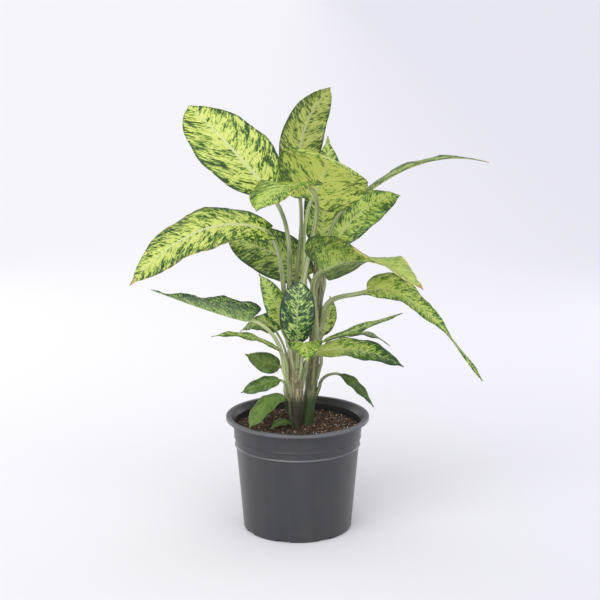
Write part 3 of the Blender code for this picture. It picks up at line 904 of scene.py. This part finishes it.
        upper = grid + facing * (thick / 2)[..., None]
        lower = grid - facing * (thick / 2 + rib)[..., None]
        rings = np.concatenate((upper, lower[:, ::-1]), axis=1)
        neck = 1 - smooth(rows, 0.0, self.NECK)
        round_ring = self.ring(centre, along, side, np.full(len(t), leaf.stalk))
        rings = rings + (round_ring - rings) * (neck * self.NECK_ROUND)[..., None]
        span = np.sqrt(gap**2 + (reach[:, None] - start) ** 2)
        shift = np.where(s > 0, self.seed, self.seed + self.HALF_SHIFT)
        traits = {
            "flow": beside(start * leaf.fine, span * leaf.fine, shift),
            "place": beside(rows, s, gap),
        }
        return rings, {key: np.concatenate((v, v[:, ::-1]), axis=1) for key, v in traits.items()}

    def ring(self, centre: np.ndarray, along: np.ndarray, side: np.ndarray, radius: np.ndarray) -> np.ndarray:
        """Round rings about a path, in step with the blade's columns.

        Args:
            centre: Points of the path.
            along: Its directions.
            side: Directions across it.
            radius: Radius at each point.

        Returns:
            Points by row and column.
        """
        count = 2 * len(self.columns)
        across = unit(side - along * np.sum(side * along, axis=1, keepdims=True))
        normal = np.cross(across, along)
        turns = math.pi - (np.arange(count) + 0.5) * 2 * math.pi / count
        cosine, sine = np.cos(turns)[None, :, None], np.sin(turns)[None, :, None]
        return centre[:, None] + (across[:, None] * cosine + normal[:, None] * sine) * radius[:, None, None]

    def petiole_rings(self) -> np.ndarray:
        """Lay rings from the heel, sunk in the cane, to the base of the blade.

        Returns:
            Points by row and column.
        """
        leaf = self.leaf
        axis, cane_radius = cane_level(leaf.cane, leaf.node)
        angle = math.radians(leaf.azimuth)
        out = np.array((math.sin(angle), -math.cos(angle), 0))
        foot_radius = leaf.stalk * self.FOOT_FLARE
        foot = axis + out * (cane_radius + foot_radius + self.STALK_GAP)
        base = self.midrib[0]
        span = np.linalg.norm(base - foot)
        entry = bezier_direction(self.midrib, np.zeros(1))[0]
        handles = (foot, foot + (0, 0, span * leaf.rise), base - entry * span * leaf.reach, base)
        steps = max(self.PETIOLE_LEAST, round(span / self.PETIOLE_STEP))
        t = np.arange(steps + 1) / steps
        centre, along = bezier(handles, t), bezier_direction(handles, t)
        side = np.empty_like(along)
        across = self.side(np.zeros(1))[0]
        for k in range(steps, -1, -1):
            across = unit(across - along[k] * (across @ along[k]))
            side[k] = across
        radius = foot_radius + (leaf.stalk - foot_radius) * np.minimum(1, self.FOOT_TAPER * t)
        heel = []
        for share in np.linspace(1, self.HEEL_END, self.HEEL_RINGS):
            level = max(leaf.node - self.HEEL * share, CANES[leaf.cane][0].z)
            middle, cane_radius = cane_level(leaf.cane, level)
            sink = (foot_radius * self.HEEL_SINK + self.STALK_GAP) * share**0.8
            heel.append(middle + out * (cane_radius + (foot_radius + self.STALK_GAP - sink)))
        heel = np.array(heel)
        rise = np.gradient(np.concatenate((heel, centre[:1])), axis=0)[:-1]
        sunk = np.full(len(heel), foot_radius * self.HEEL_FLARE)
        first = np.repeat(side[:1], len(heel), axis=0)
        lower = self.ring(heel, unit(rise), first, sunk)
        return np.concatenate((lower, self.ring(centre, along, side, radius)[:-1]))

    def mesh(self) -> bpy.types.Mesh:
        """Skin the rings into a closed body.

        Returns:
            The leaf's mesh, with its traits.
        """
        leaf = self.leaf
        stalk = self.petiole_rings()
        blade, traits = self.blade_rings()
        rings = np.concatenate((stalk, blade))
        rows, count = rings.shape[:2]
        half, last = count // 2, (rows - 1) * count
        faces = skin(rows, count)
        for j in range(half - 1):
            quad = (j, j + 1, count - 2 - j, count - 1 - j)
            faces += [tuple(reversed(quad)), tuple(last + k for k in quad)]
        mesh = solid(rings.reshape(-1, 3), faces, f"leaf_{leaf.name}")
        middle = stalk.mean(axis=1)
        steps = np.linalg.norm(np.diff(middle, axis=0, prepend=middle[:1]), axis=1)
        climb = np.cumsum(steps)[:, None]
        turns = np.arange(count) / count * self.STREAK_TURN
        on_stalk = {"flow": beside(climb, turns, self.seed), "place": beside(0 * climb, 0 * turns, 1.0)}
        for name, first in on_stalk.items():
            give_trait(mesh, name, np.concatenate((first, traits[name])))
        places = np.arange(rows)[:, None]
        give_trait(mesh, "side", beside(np.arange(count) >= half, places < len(stalk), leaf.tone))
        lime = np.full((rows, count), leaf.lime)
        lime[len(stalk):] -= leaf.fade * (traits["place"][..., 0] - 0.5)
        give_trait(mesh, "habit", beside(lime, leaf.yellow, leaf.dry))
        return mesh


@dataclass(frozen=True)
class Foliage:
    """All the leaves."""

    leaves: tuple[Leaf, ...] = LEAVES
    seed_step: float = 3.1  # sets each leaf's pattern apart from the last one's
    finishes: dict[Slot, LeafFinish] = field(default_factory=lambda: {
        Slot.LEAF_LIME: LeafFinish("lime_leaf", rib_width=0.0040, contrast=8.5),
        Slot.LEAF_GREEN: LeafFinish(
            "green_leaf", lime=srgb(164, 196, 74), pale=srgb(214, 230, 136), under=srgb(158, 174, 88),
            fleck=(430.0, 125.0, 1.0), rib_share=0.5, contrast=6.5,
        ),
        Slot.LEAF_DARK: LeafFinish(
            "dark_leaf", deep=srgb(22, 50, 38), green=srgb(38, 80, 48), fresh=srgb(84, 126, 56),
            lime=srgb(160, 190, 92), pale=srgb(206, 224, 146), under=srgb(112, 134, 96),
            glow=0.25, fleck=(380.0, 150.0, 1.0), rib_share=0.18, contrast=6.0,
        ),
    })
    plain: LeafFinish = LeafFinish(
        "plain_leaf", deep=srgb(36, 62, 30), green=srgb(60, 92, 38), fresh=srgb(86, 120, 50),
        lime=srgb(108, 140, 60), pale=srgb(134, 162, 80), rib=srgb(132, 152, 90),
        under=srgb(112, 130, 78), glow=0.30, rib_share=0.30, contrast=2.4, shade_share=0.7,
    )

    def build(self) -> None:
        """Build and place every leaf."""
        materials = {slot: finish.build() for slot, finish in self.finishes.items()}
        plain = self.plain.build()
        for number, leaf in enumerate(self.leaves):
            mesh = Blade(leaf, self.seed_step * (number + 1)).mesh()
            material = plain if leaf.plain else materials[leaf.slot]
            put(mesh, f"foliage_{leaf.name}", material, leaf.slot, f"leaf_{leaf.name}")


# ---- canes


@dataclass(frozen=True)
class CaneFinish:
    """Rind of a cane: streaks up its length, mottling and painted shade at its foot, near the soil."""

    name: str
    light: Colour
    dark: Colour
    mottle: Colour
    # painted shade at the cane's foot, near the soil
    foot: Colour
    foot_shade_top: float = 0.190
    foot_shade_blur: float = 0.018
    roughness: float = 0.6
    stub: Colour = srgb(122, 96, 62)  # the dried top of the tall cane
    stub_base: float = 0.352
    stub_blur: float = 0.012
    streak: Point = (620.0, 620.0, 26.0)  # swells per metre
    broad: Point = (160.0, 160.0, 45.0)
    fibre: Point = (1500.0, 1500.0, 300.0)
    relief: float = 0.0008

    def build(self) -> bpy.types.Material:
        """Build the material.

        Returns:
            The finished material.
        """
        web = Paint(self.name)
        place = web.place()
        height = web.split(place)[2]
        streak = web.cloud(place, self.streak, 3.0, 0.6)
        broad = web.cloud(place, self.broad)
        fibre = web.cloud(place, self.fibre)
        colour = web.blend(streak.rise(0.38, 0.60), self.dark, self.light)
        colour = web.blend(0.8 * broad.rise(0.50, 0.72), colour, self.mottle)
        # painted shade at the foot, near the soil
        low = 1 - (height + 0.03 * (broad - 0.5)).rise(self.foot_shade_top - self.foot_shade_blur, self.foot_shade_top)
        colour = web.blend(low * 0.9, colour, self.foot)
        dried = height.rise(self.stub_base, self.stub_base + self.stub_blur)
        surface = {
            "Base Color": web.blend(0.8 * dried, colour, self.stub),
            "Roughness": self.roughness + 0.2 * (fibre - 0.5),
            "Normal": web.relief(0.7 * streak + 0.3 * fibre, self.relief, 0.7),
        }
        return web.close(surface)


@dataclass(frozen=True)
class Cane:
    """One cane as a closed tube with sheath ridges and leaf scars."""

    name: str
    sides: int = 44
    step: float = 0.0016
    inset: float = 0.0003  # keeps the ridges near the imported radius
    ridge: float = 0.00035
    lean: float = 6.0  # turn of the ridges for each metre up
    scar: float = 0.0004
    scar_pitch: float = 0.0125
    scar_width: float = 0.07  # beside the pitch
    scarred: float = 0.008  # radius from which the scars have their full depth
    dome: tuple[float, ...] = (0.25, 0.5, 0.75, 0.93)  # rings of the rounded top
    dome_height: float = 0.45

    def wall(self, radius: float, z: float, low: float, turns: np.ndarray) -> np.ndarray:
        """Radius all round one level, with ridges and scars.

        Args:
            radius: The plain radius.
            z: The level's height.
            low: Height of the cane's foot.
            turns: Angles round the cane.

        Returns:
            One radius for each angle.
        """
        lean = turns + self.lean * (z - low)
        ridge = np.sin(5 * lean + 40 * z) * 0.6 + np.sin(9 * lean - 25 * z + 1) * 0.4
        phase = (z / self.scar_pitch + 0.12 * np.sin(turns)) % 1.0
        scar = np.exp(-(((phase - 0.5) / self.scar_width) ** 2)) * min(1.0, radius / self.scarred)
        return radius - self.inset + self.ridge * ridge + self.scar * scar

    def mesh(self) -> bpy.types.Mesh:
        """Build the tube.

        Returns:
            The cane's mesh.
        """
        rings = CANES[self.name]
        low, high = rings[0].z, rings[-1].z
        rows = []
        for level in np.linspace(low, high, round((high - low) / self.step) + 1):
            centre, radius = cane_level(self.name, float(level))
            rows.append((*centre, radius))
        x, y, z, radius = rows[-1]
        for share in self.dome:
            rows.append((x, y, z + self.dome_height * radius * share, radius * math.sqrt(1 - share**2)))
        turns = np.arange(self.sides) * 2 * math.pi / self.sides
        points = []
        for x, y, z, radius in rows:
            wall = self.wall(radius, z, low, turns)
            points.append(beside(x + wall * np.cos(turns), y + wall * np.sin(turns), z))
        last = (len(rows) - 1) * self.sides
        faces = skin(len(rows), self.sides)
        faces += [tuple(reversed(range(self.sides))), tuple(range(last, last + self.sides))]
        return solid(np.concatenate(points), faces, f"cane_{self.name}")


@dataclass(frozen=True)
class Canes:
    """The two canes and the side shoot on the left one."""

    tan: CaneFinish = CaneFinish(
        "tan_rind", srgb(182, 173, 136), srgb(98, 92, 64), srgb(128, 134, 82), srgb(42, 40, 32),
    )
    green: CaneFinish = CaneFinish(
        "green_rind", srgb(156, 156, 114), srgb(60, 63, 41), srgb(84, 100, 50), srgb(54, 78, 38), 0.188,
    )

    def build(self) -> None:
        """Build and place the canes."""
        tan, green = self.tan.build(), self.green.build()
        put(Cane("left").mesh(), "left_cane", tan, Slot.CANE_TAN, "cane_left")
        put(Cane("shoot", sides=28).mesh(), "side_shoot", tan, Slot.CANE_TAN)
        put(Cane("right").mesh(), "right_cane", green, Slot.CANE_GREEN, "cane_right")


# ---- pot


@dataclass(frozen=True)
class PotFinish:
    """Slate grey moulded plastic with dust and faint flow marks. The rim edge and the lower ring carry a
    painted highlight mixed with wear, and the inner wall carries painted shade.
    """

    name: str = "nursery_plastic"
    body: Colour = srgb(44, 45, 50)
    # pale grey of the flow marks, and of the painted highlight on the rim edge and the lower ring
    pale_grey_and_highlight: Colour = srgb(122, 124, 130)
    dust: Colour = srgb(112, 100, 88)
    inner_shade: Colour = srgb(30, 29, 29)  # painted shade on the inner wall above the mix and on the rim's inner edge
    roughness: float = 0.35
    rim_out: Span = (-0.0035, -0.0005)  # where the rim's painted highlight and wear start and are full, from its edge
    rim_up: Span = (-0.005, -0.002)  # and from its top
    bead_out: Span = (-0.0001, 0.0003)  # the lower ring's, from the wall
    bead_up: Span = (0.0011, 0.0015)  # and from the ring's foot
    bead_end: Span = (0.0027, 0.0033)
    inner_out: Span = (0.0002, 0.0010)  # where the inner wall ends, from the outer one
    inner_up: Span = (-0.024, -0.022)  # where the painted shade on the inner wall starts, from the top
    flare_out: Span = (0.0002, 0.0014)  # the rim's inner edge, from its opening
    flare_up: Span = (-0.0043, -0.0040)
    dust_height: float = 0.03

    def build(self, pot: "Pot") -> bpy.types.Material:
        """Build the material.

        Args:
            pot: The pot, for its sizes.

        Returns:
            The finished material.
        """

        def past(value: Link, place: float | Link, band: Span) -> Link:
            """Smooth step over a band that is set out from a place."""
            return (value - place).rise(*band)

        web = Paint(self.name)
        place = web.place()
        x, y, height = web.split(place)
        reach = (x * x + y * y) ** 0.5
        flow = web.cloud(place, (60.0, 60.0, 8.0))
        grain = web.cloud(place, 2600.0)
        smudge = web.cloud(place, 34.0, 4.0, 0.6)
        colour = web.blend(0.13 * flow, self.body, self.pale_grey_and_highlight)
        # painted highlight, mixed with patchy wear, on the rim's top edge and on the lower ring's upper face
        rim = past(reach, pot.rim_radius, self.rim_out) * past(height, pot.height, self.rim_up)
        bead = past(height, pot.ring_low, self.bead_up) * (1 - past(height, pot.ring_low, self.bead_end))
        bead = bead * past(reach, pot.wall_radius(pot.ring_low), self.bead_out)
        highlight_and_wear = (rim * (0.25 + 0.5 * smudge)).math("MAXIMUM", bead * (0.25 + 0.4 * smudge))
        colour = web.blend(highlight_and_wear, colour, self.pale_grey_and_highlight)
        # painted shade on the inner wall above the mix and on the rim's inner edge
        inner = 1 - past(reach, pot.wall_radius(height), self.inner_out)
        wall = past(height, pot.height, self.inner_up) * inner
        flare = past(height, pot.height, self.flare_up) * (1 - past(reach, pot.rim_opening, self.flare_out))
        colour = web.blend(0.85 * wall.math("MAXIMUM", flare), colour, self.inner_shade)
        dust = smudge.rise(0.50, 0.75) * (0.04 + 0.22 * (1 - height.rise(0.0, self.dust_height)))
        surface = {
            "Base Color": web.blend(dust, colour, self.dust),
            "Roughness": self.roughness + 0.16 * (smudge - 0.5) + 0.06 * (grain - 0.5),
            "Normal": web.relief(grain, 0.00012, 0.35),
        }
        return web.close(surface)


@dataclass(frozen=True)
class Pot:
    """The pot, turned from its profile, with its drain slots cut by one tree."""

    height: float = 0.154
    rim_radius: float = 0.095
    rim_thickness: float = 0.0045
    rim_opening: float = 0.088
    shoulder_radius: float = 0.0845
    shoulder_height: float = 0.1465
    ring_low: float = 0.1135
    ring_high: float = 0.1250
    ring_step: float = 0.0007
    bead: float = 0.0019  # how far the lower ring stands out
    base_radius: float = 0.0721
    foot_chamfer: float = 0.0018
    wall: float = 0.0016
    floor: float = 0.0024
    hub: float = 0.004  # ring round the middle, above and below
    softness: float = 0.0005  # how far from each corner its round starts
    crease: float = 40.0  # edges that turn more than this, in degrees, stay sharp
    segments: int = 160
    slots: int = 8
    slot_size: Point = (0.018, 0.013, 0.0068)
    slot_first: float = 30.0
    finish: PotFinish = PotFinish()

    def wall_radius(self, height: float | Link) -> float | Link:
        """Outer radius of the tapered wall under the shoulder, for a number or a link."""
        return self.base_radius + height * ((self.shoulder_radius - self.base_radius) / self.shoulder_height)

    def soften(self, points: list[Span]) -> list[Span]:
        """Round each inner corner of a profile with three points.

        Args:
            points: Radius and height of each corner.

        Returns:
            The rounded profile.
        """
        rounded = [points[0]]
        for before, here, after in zip(points, points[1:], points[2:]):
            here_v = Vector(here)
            ends = []
            for other in (before, after):
                gap = Vector(other) - here_v
                ends.append(here_v + gap.normalized() * min(self.softness, gap.length * 0.4))
            middle = (ends[0] + ends[1]) * 0.25 + here_v * 0.5
            rounded += [tuple(ends[0]), tuple(middle), tuple(ends[1])]
        rounded.append(points[-1])
        return rounded

    def profile(self) -> list[Span]:
        """Draw the outline from the middle of the underside round to the middle of the floor.

        Returns:
            Radius and height of each point.
        """
        step, bead, rim, lip = self.ring_step, self.bead, self.rim_radius, self.height - self.rim_thickness
        low, high, top = self.ring_low, self.ring_high, self.shoulder_height
        low_r, high_r, top_r, floor_r = (self.wall_radius(z) for z in (low, high, top, self.floor))
        return self.soften([
            (self.hub, 0), (self.base_radius - self.foot_chamfer, 0), (self.base_radius, self.foot_chamfer),
            (low_r, low), (low_r + bead, low + step), (low_r + bead, low + 2 * step),
            (low_r + step, low + 2 * step + bead),
            (high_r + step, high), (high_r + 3 * step, high + step), (high_r + 2 * step, high + 3 * step),
            (self.shoulder_radius + 2 * step, top), (self.shoulder_radius + 3 * step, lip),
            (rim, lip), (rim, self.height - step), (rim - step, self.height),
            (self.rim_opening + step, self.height), (self.rim_opening, self.height - step),
            (top_r - self.wall, top), (floor_r - self.wall, self.floor), (self.hub, self.floor),
        ])

    def lathe(self) -> bpy.types.Mesh:
        """Turn the profile into a closed body.

        Returns:
            The body's mesh.
        """
        profile = self.profile()
        turns = np.arange(self.segments) * 2 * math.pi / self.segments
        points = [(r * math.cos(a), r * math.sin(a), z) for r, z in profile for a in turns]
        end = len(points)
        points += [(0, 0, profile[0][1]), (0, 0, profile[-1][1])]
        faces = skin(len(profile), self.segments, 0, (end, end + 1))
        return solid(np.array(points), faces, "pot_body")

    def build(self) -> None:
        """Cut the slots with a Geometry Nodes tree and place the pot."""
        tree = Growth("drain_slots")
        plastic = self.finish.build(self)
        count, radius, size, first, material = tree.given(
            slots=self.slots, ring_radius=self.base_radius, slot_size=self.slot_size,
            first_angle=math.radians(self.slot_first) - math.pi / 2, material=plastic,
        )
        circle = tree.node("GeometryNodeMeshCircle", {}, {"Vertices": count, "Radius": radius})
        start = tree.node("ShaderNodeCombineXYZ", {}, {2: first})
        turned = tree.node("GeometryNodeTransform", {}, {"Geometry": circle, "Rotation": start})
        where = tree.node("GeometryNodeInputPosition", {}, {})
        outward = {"axis": "Y", "pivot_axis": "Z"}
        facing = tree.node("FunctionNodeAlignRotationToVector", outward, {"Vector": where})
        block = tree.node("GeometryNodeMeshCube", {}, {"Size": size})
        each = {"Points": turned, "Instance": block, "Rotation": facing}
        cutters = tree.node("GeometryNodeInstanceOnPoints", {}, each)
        cutters = tree.node("GeometryNodeRealizeInstances", {}, {0: cutters})
        way = {"operation": "DIFFERENCE", "solver": "EXACT"}
        cut = tree.node("GeometryNodeMeshBoolean", way, {"Mesh 1": tree.source, "Mesh 2": cutters})
        mesh = tree.grow(self.lathe(), cut, material)
        put(mesh, "nursery_pot", plastic, Slot.POT, "pot")
        mesh.set_sharp_from_angle(angle=math.radians(self.crease))


# ---- soil


@dataclass(frozen=True)
class GrainFinish:
    """The potting mix, or a loose grain of it."""

    name: str
    light: Colour
    dark: Colour
    roughness: float = 0.95
    patches: float = 260.0  # swells per metre
    grit: float = 1800.0
    relief: float = 0.0005

    def build(self) -> bpy.types.Material:
        """Build the material.

        Returns:
            The finished material.
        """
        web = Paint(self.name)
        place = web.place()
        tone = web.cloud(place, self.patches)
        grit = web.cloud(place, self.grit, 3.0, 0.65)
        colour = web.blend(tone.rise(0.36, 0.64), self.dark, self.light)
        surface = {
            "Base Color": web.blend(0.5 * grit, colour, self.dark),
            "Roughness": self.roughness + 0.1 * (grit - 0.5),
            "Normal": web.relief(grit, self.relief, 0.8),
        }
        return web.close(surface)


@dataclass(frozen=True)
class Grains:
    """One kind of grain to strew over the mix. Radii are in metres, the lean in radians."""

    name: str
    finish: GrainFinish
    density: float  # grains per square metre
    least: float
    most: float
    seed: int
    flat: float  # height beside width
    long: float = 1.0  # length beside width
    lean: float = math.tau  # most that a grain leans
    lump: float = 1.1  # how far a grain is pushed out of round
    narrow: float = 0.8

    def strew(self, sheet: bpy.types.Mesh) -> None:
        """Strew the grains with a Geometry Nodes tree, and place them as one piece.

        Args:
            sheet: The open sheet that they lie on.
        """
        tree = Growth(self.name)
        rind = self.finish.build()
        count, least, most, draw, squash, turned, length, material = tree.given(
            density=self.density, least_radius=self.least, most_radius=self.most, seed=self.seed,
            flatness=self.flat, most_turn=(self.lean, self.lean, math.tau), length=self.long, material=rind,
        )
        points = tree.node(
            "GeometryNodeDistributePointsOnFaces", {"distribute_method": "RANDOM"},
            {"Mesh": tree.source, "Density": count, "Seed": draw},
        )
        grain = tree.node("GeometryNodeMeshIcoSphere", {}, {"Radius": 1.0, "Subdivisions": 2})
        place = tree.node("GeometryNodeInputPosition", {}, {})
        bumps = tree.node("ShaderNodeTexNoise", {}, {"Vector": place, "Scale": 1.3, "Detail": 1.0}, "Color")
        middle = {0: bumps, 1: (0.5, 0.5, 0.5)}
        centred = tree.node("ShaderNodeVectorMath", {"operation": "SUBTRACT"}, middle)
        pushed = tree.node("ShaderNodeVectorMath", {"operation": "SCALE"}, {0: centred, "Scale": self.lump})
        lumpy = tree.node("GeometryNodeSetPosition", {}, {"Geometry": grain, "Offset": pushed})
        sizes = {"Min": least, "Max": most, "Seed": draw}
        radius = tree.node("FunctionNodeRandomValue", {"data_type": "FLOAT"}, sizes, "Value")
        turns = {"Min": (0.0, 0.0, 0.0), "Max": turned, "Seed": draw}
        turn = tree.node("FunctionNodeRandomValue", {"data_type": "FLOAT_VECTOR"}, turns, "Value")
        sides = {0: radius * length, 1: radius * self.narrow, 2: radius * squash}
        scale = tree.node("ShaderNodeCombineXYZ", {}, sides)
        each = {"Points": points, "Instance": lumpy, "Rotation": turn, "Scale": scale}
        strewn = tree.node("GeometryNodeInstanceOnPoints", {}, each)
        mesh = tree.grow(sheet, strewn, material)
        mesh.shade_smooth()
        put(mesh, self.name, rind, Slot.SOIL)


@dataclass(frozen=True)
class Soil:
    """The potting mix: its lumpy surface and the grains bedded in it."""

    level: float = 0.1385
    lump: float = 0.0016
    crumb: float = 0.0009
    radius: float = 0.0817
    floor: float = 0.0027
    floor_radius: float = 0.0701
    rings: int = 60
    segments: int = 150
    sheet_cells: int = 90
    wall_gap: float = 0.003  # kept free of grains
    stem_gap: float = 0.001
    mix: GrainFinish = GrainFinish("potting_mix", srgb(92, 66, 46), srgb(38, 27, 20))
    grains: tuple[Grains, ...] = (
        Grains("perlite_grains", GrainFinish("perlite", srgb(232, 226, 214), srgb(186, 176, 160), 0.8),
               26000.0, 0.0003, 0.0010, 5, 0.8),
        Grains("bark_crumbs", GrainFinish("bark", srgb(112, 82, 60), srgb(42, 32, 27)),
               34000.0, 0.0006, 0.0032, 11, 0.55),
        Grains("soil_fibres", GrainFinish("fibre", srgb(168, 138, 104), srgb(108, 84, 60), 0.85),
               4500.0, 0.0003, 0.0006, 23, 0.8, 9.0, 0.25),
    )

    def height(self, x: float, y: float) -> float:
        """Height of the surface: a few swells, with crumbs on them.

        Args:
            x: Place in metres.
            y: Place in metres.

        Returns:
            The height in metres.
        """
        swell = math.sin(95 * x + 1.3) * math.cos(80 * y - 0.4)
        cross = math.sin(210 * x + 170 * y) * math.cos(160 * x - 230 * y + 0.7)
        coarse = noise.noise(Vector((x * 320, y * 320, 3.3)))
        rough = coarse + 0.6 * noise.noise(Vector((x * 800, y * 800, 9.1)))
        return self.level + self.lump * (0.6 * swell + 0.4 * cross) + self.crumb * rough

    def surface(self) -> bpy.types.Mesh:
        """Build the closed body of the mix.

        Returns:
            The body's mesh.
        """
        turns = [2 * math.pi * k / self.segments for k in range(self.segments)]
        foot, floor = self.floor_radius, self.floor
        points = [(0.0, 0.0, floor), *((foot * math.cos(a), foot * math.sin(a), floor) for a in turns)]
        for ring in range(self.rings, 0, -1):
            reach = self.radius * ring / self.rings
            for x, y in ((reach * math.cos(a), reach * math.sin(a)) for a in turns):
                points.append((x, y, self.height(x, y)))
        points.append((0.0, 0.0, self.height(0.0, 0.0)))
        faces = skin(self.rings + 1, self.segments, 1, (0, len(points) - 1))
        return solid(np.array(points), faces, "soil_body")

    def top(self) -> bpy.types.Mesh:
        """Lay an open sheet over the surface, clear of the canes and the wall, to strew grains on.

        Returns:
            The sheet's mesh.
        """
        grid, cells = bmesh.new(), self.sheet_cells
        bmesh.ops.create_grid(grid, x_segments=cells, y_segments=cells, size=self.radius)
        for vert in grid.verts:
            vert.co.z = self.height(vert.co.x, vert.co.y)
        stems = [cane_level(name, self.level) for name in ("left", "right")]
        gone = []
        for face in grid.faces:
            middle = face.calc_center_median().xy
            near = any((middle - Vector(c[:2])).length < r + self.stem_gap for c, r in stems)
            if near or middle.length > self.radius - self.wall_gap:
                gone.append(face)
        bmesh.ops.delete(grid, geom=gone, context="FACES")
        sheet = bpy.data.meshes.new("soil_top")
        grid.to_mesh(sheet)
        grid.free()
        return sheet

    def build(self) -> None:
        """Build and place the mix and its grains."""
        put(self.surface(), "potting_mix", self.mix.build(), Slot.SOIL, "soil")
        for kind in self.grains:
            kind.strew(self.top())


class LampKind(Enum):
    """Kinds of light."""

    SUN = "SUN"
    PANEL = "AREA"


@dataclass(frozen=True)
class Lamp:
    """One light. Angles are in degrees."""

    name: str
    kind: LampKind
    power: float
    turn: Point
    spread: float  # a sun's angle, or a panel's side in metres
    place: Point = (0.0, 0.0, 0.0)

    def hang(self) -> None:
        """Hang the light where the camera doesn't see it."""
        data = bpy.data.lights.new(self.name, self.kind.value)
        data.energy = self.power
        if self.kind is LampKind.SUN:
            data.angle = math.radians(self.spread)
        else:
            data.size = self.spread
        lamp = add(self.name, data)
        lamp.visible_camera = False
        lamp.location = self.place
        lamp.rotation_euler = [math.radians(a) for a in self.turn]


@dataclass(frozen=True)
class Studio:
    """A pale floor, soft light and the camera."""

    floor_colour: Colour = srgb(239, 238, 243)
    floor_shade: Colour = srgb(221, 221, 230)
    floor_half: float = 30.0
    shade_band: Span = (-0.4, 1.0)  # where the floor gets darker, from left to right
    room: Colour = (0.94, 0.935, 0.96)
    room_light: float = 0.75
    camera_place: Point = (0.0032, -2.0, 0.754)
    pitch: float = 12.53
    lens: float = 94.08
    sensor: float = 36.0
    sight: float = 100.0
    lamps: tuple[Lamp, ...] = (
        Lamp("key", LampKind.SUN, 1.3, (42, -28, 0), 50),
        Lamp("fill", LampKind.SUN, 0.7, (55, 40, 0), 70),
        Lamp("left_panel", LampKind.PANEL, 3.6, (90, 0, -130), 0.6, (-1.4, 1.15, 0.35)),
        Lamp("right_panel", LampKind.PANEL, 3.6, (90, 0, 130), 0.6, (1.4, 1.15, 0.35)),
    )

    def floor(self) -> None:
        """Lay the floor."""
        web = Paint("pale_floor")
        place = web.place()
        tone = web.cloud(place, 3.0, 1.0)
        right = web.split(place)[0].rise(*self.shade_band)
        shade = web.blend(0.85 * right + 0.02 * tone, self.floor_colour, self.floor_shade)
        material = web.close({"Base Color": shade, "Roughness": 0.9})
        half = self.floor_half
        corners = [(-half, -half, 0), (half, -half, 0), (half, half, 0), (-half, half, 0)]
        mesh = bpy.data.meshes.new("floor")
        mesh.from_pydata(corners, [], [(0, 1, 2, 3)])
        mesh.materials.append(material)
        sheet = add("floor", mesh)

    def camera(self) -> None:
        """Set up the camera."""
        data = bpy.data.cameras.new("camera")
        data.lens = self.lens
        data.sensor_width = self.sensor
        data.clip_end = self.sight
        camera = add("camera", data)
        camera.location = self.camera_place
        camera.rotation_euler = (math.radians(90 - self.pitch), 0, 0)
        bpy.context.scene.camera = camera

    def build(self) -> None:
        """Build the floor, the room's light, the lamps and the camera."""
        self.floor()
        scene = bpy.context.scene
        scene.view_settings.view_transform = "Standard"
        scene.view_settings.look = "None"
        world = bpy.data.worlds.new("soft_room")
        world.use_nodes = True
        backdrop = world.node_tree.nodes["Background"]
        backdrop.inputs["Color"].default_value = (*self.room, 1.0)
        backdrop.inputs["Strength"].default_value = self.room_light
        scene.world = world
        for lamp in self.lamps:
            lamp.hang()
        self.camera()


def main() -> None:
    """Build the plant and its setting."""
    logging.basicConfig(level=logging.INFO, format="%(name)s: %(message)s")
    for builder in (Pot(), Soil(), Canes(), Foliage(), Studio()):
        builder.build()


if __name__ == "__main__":
    main()
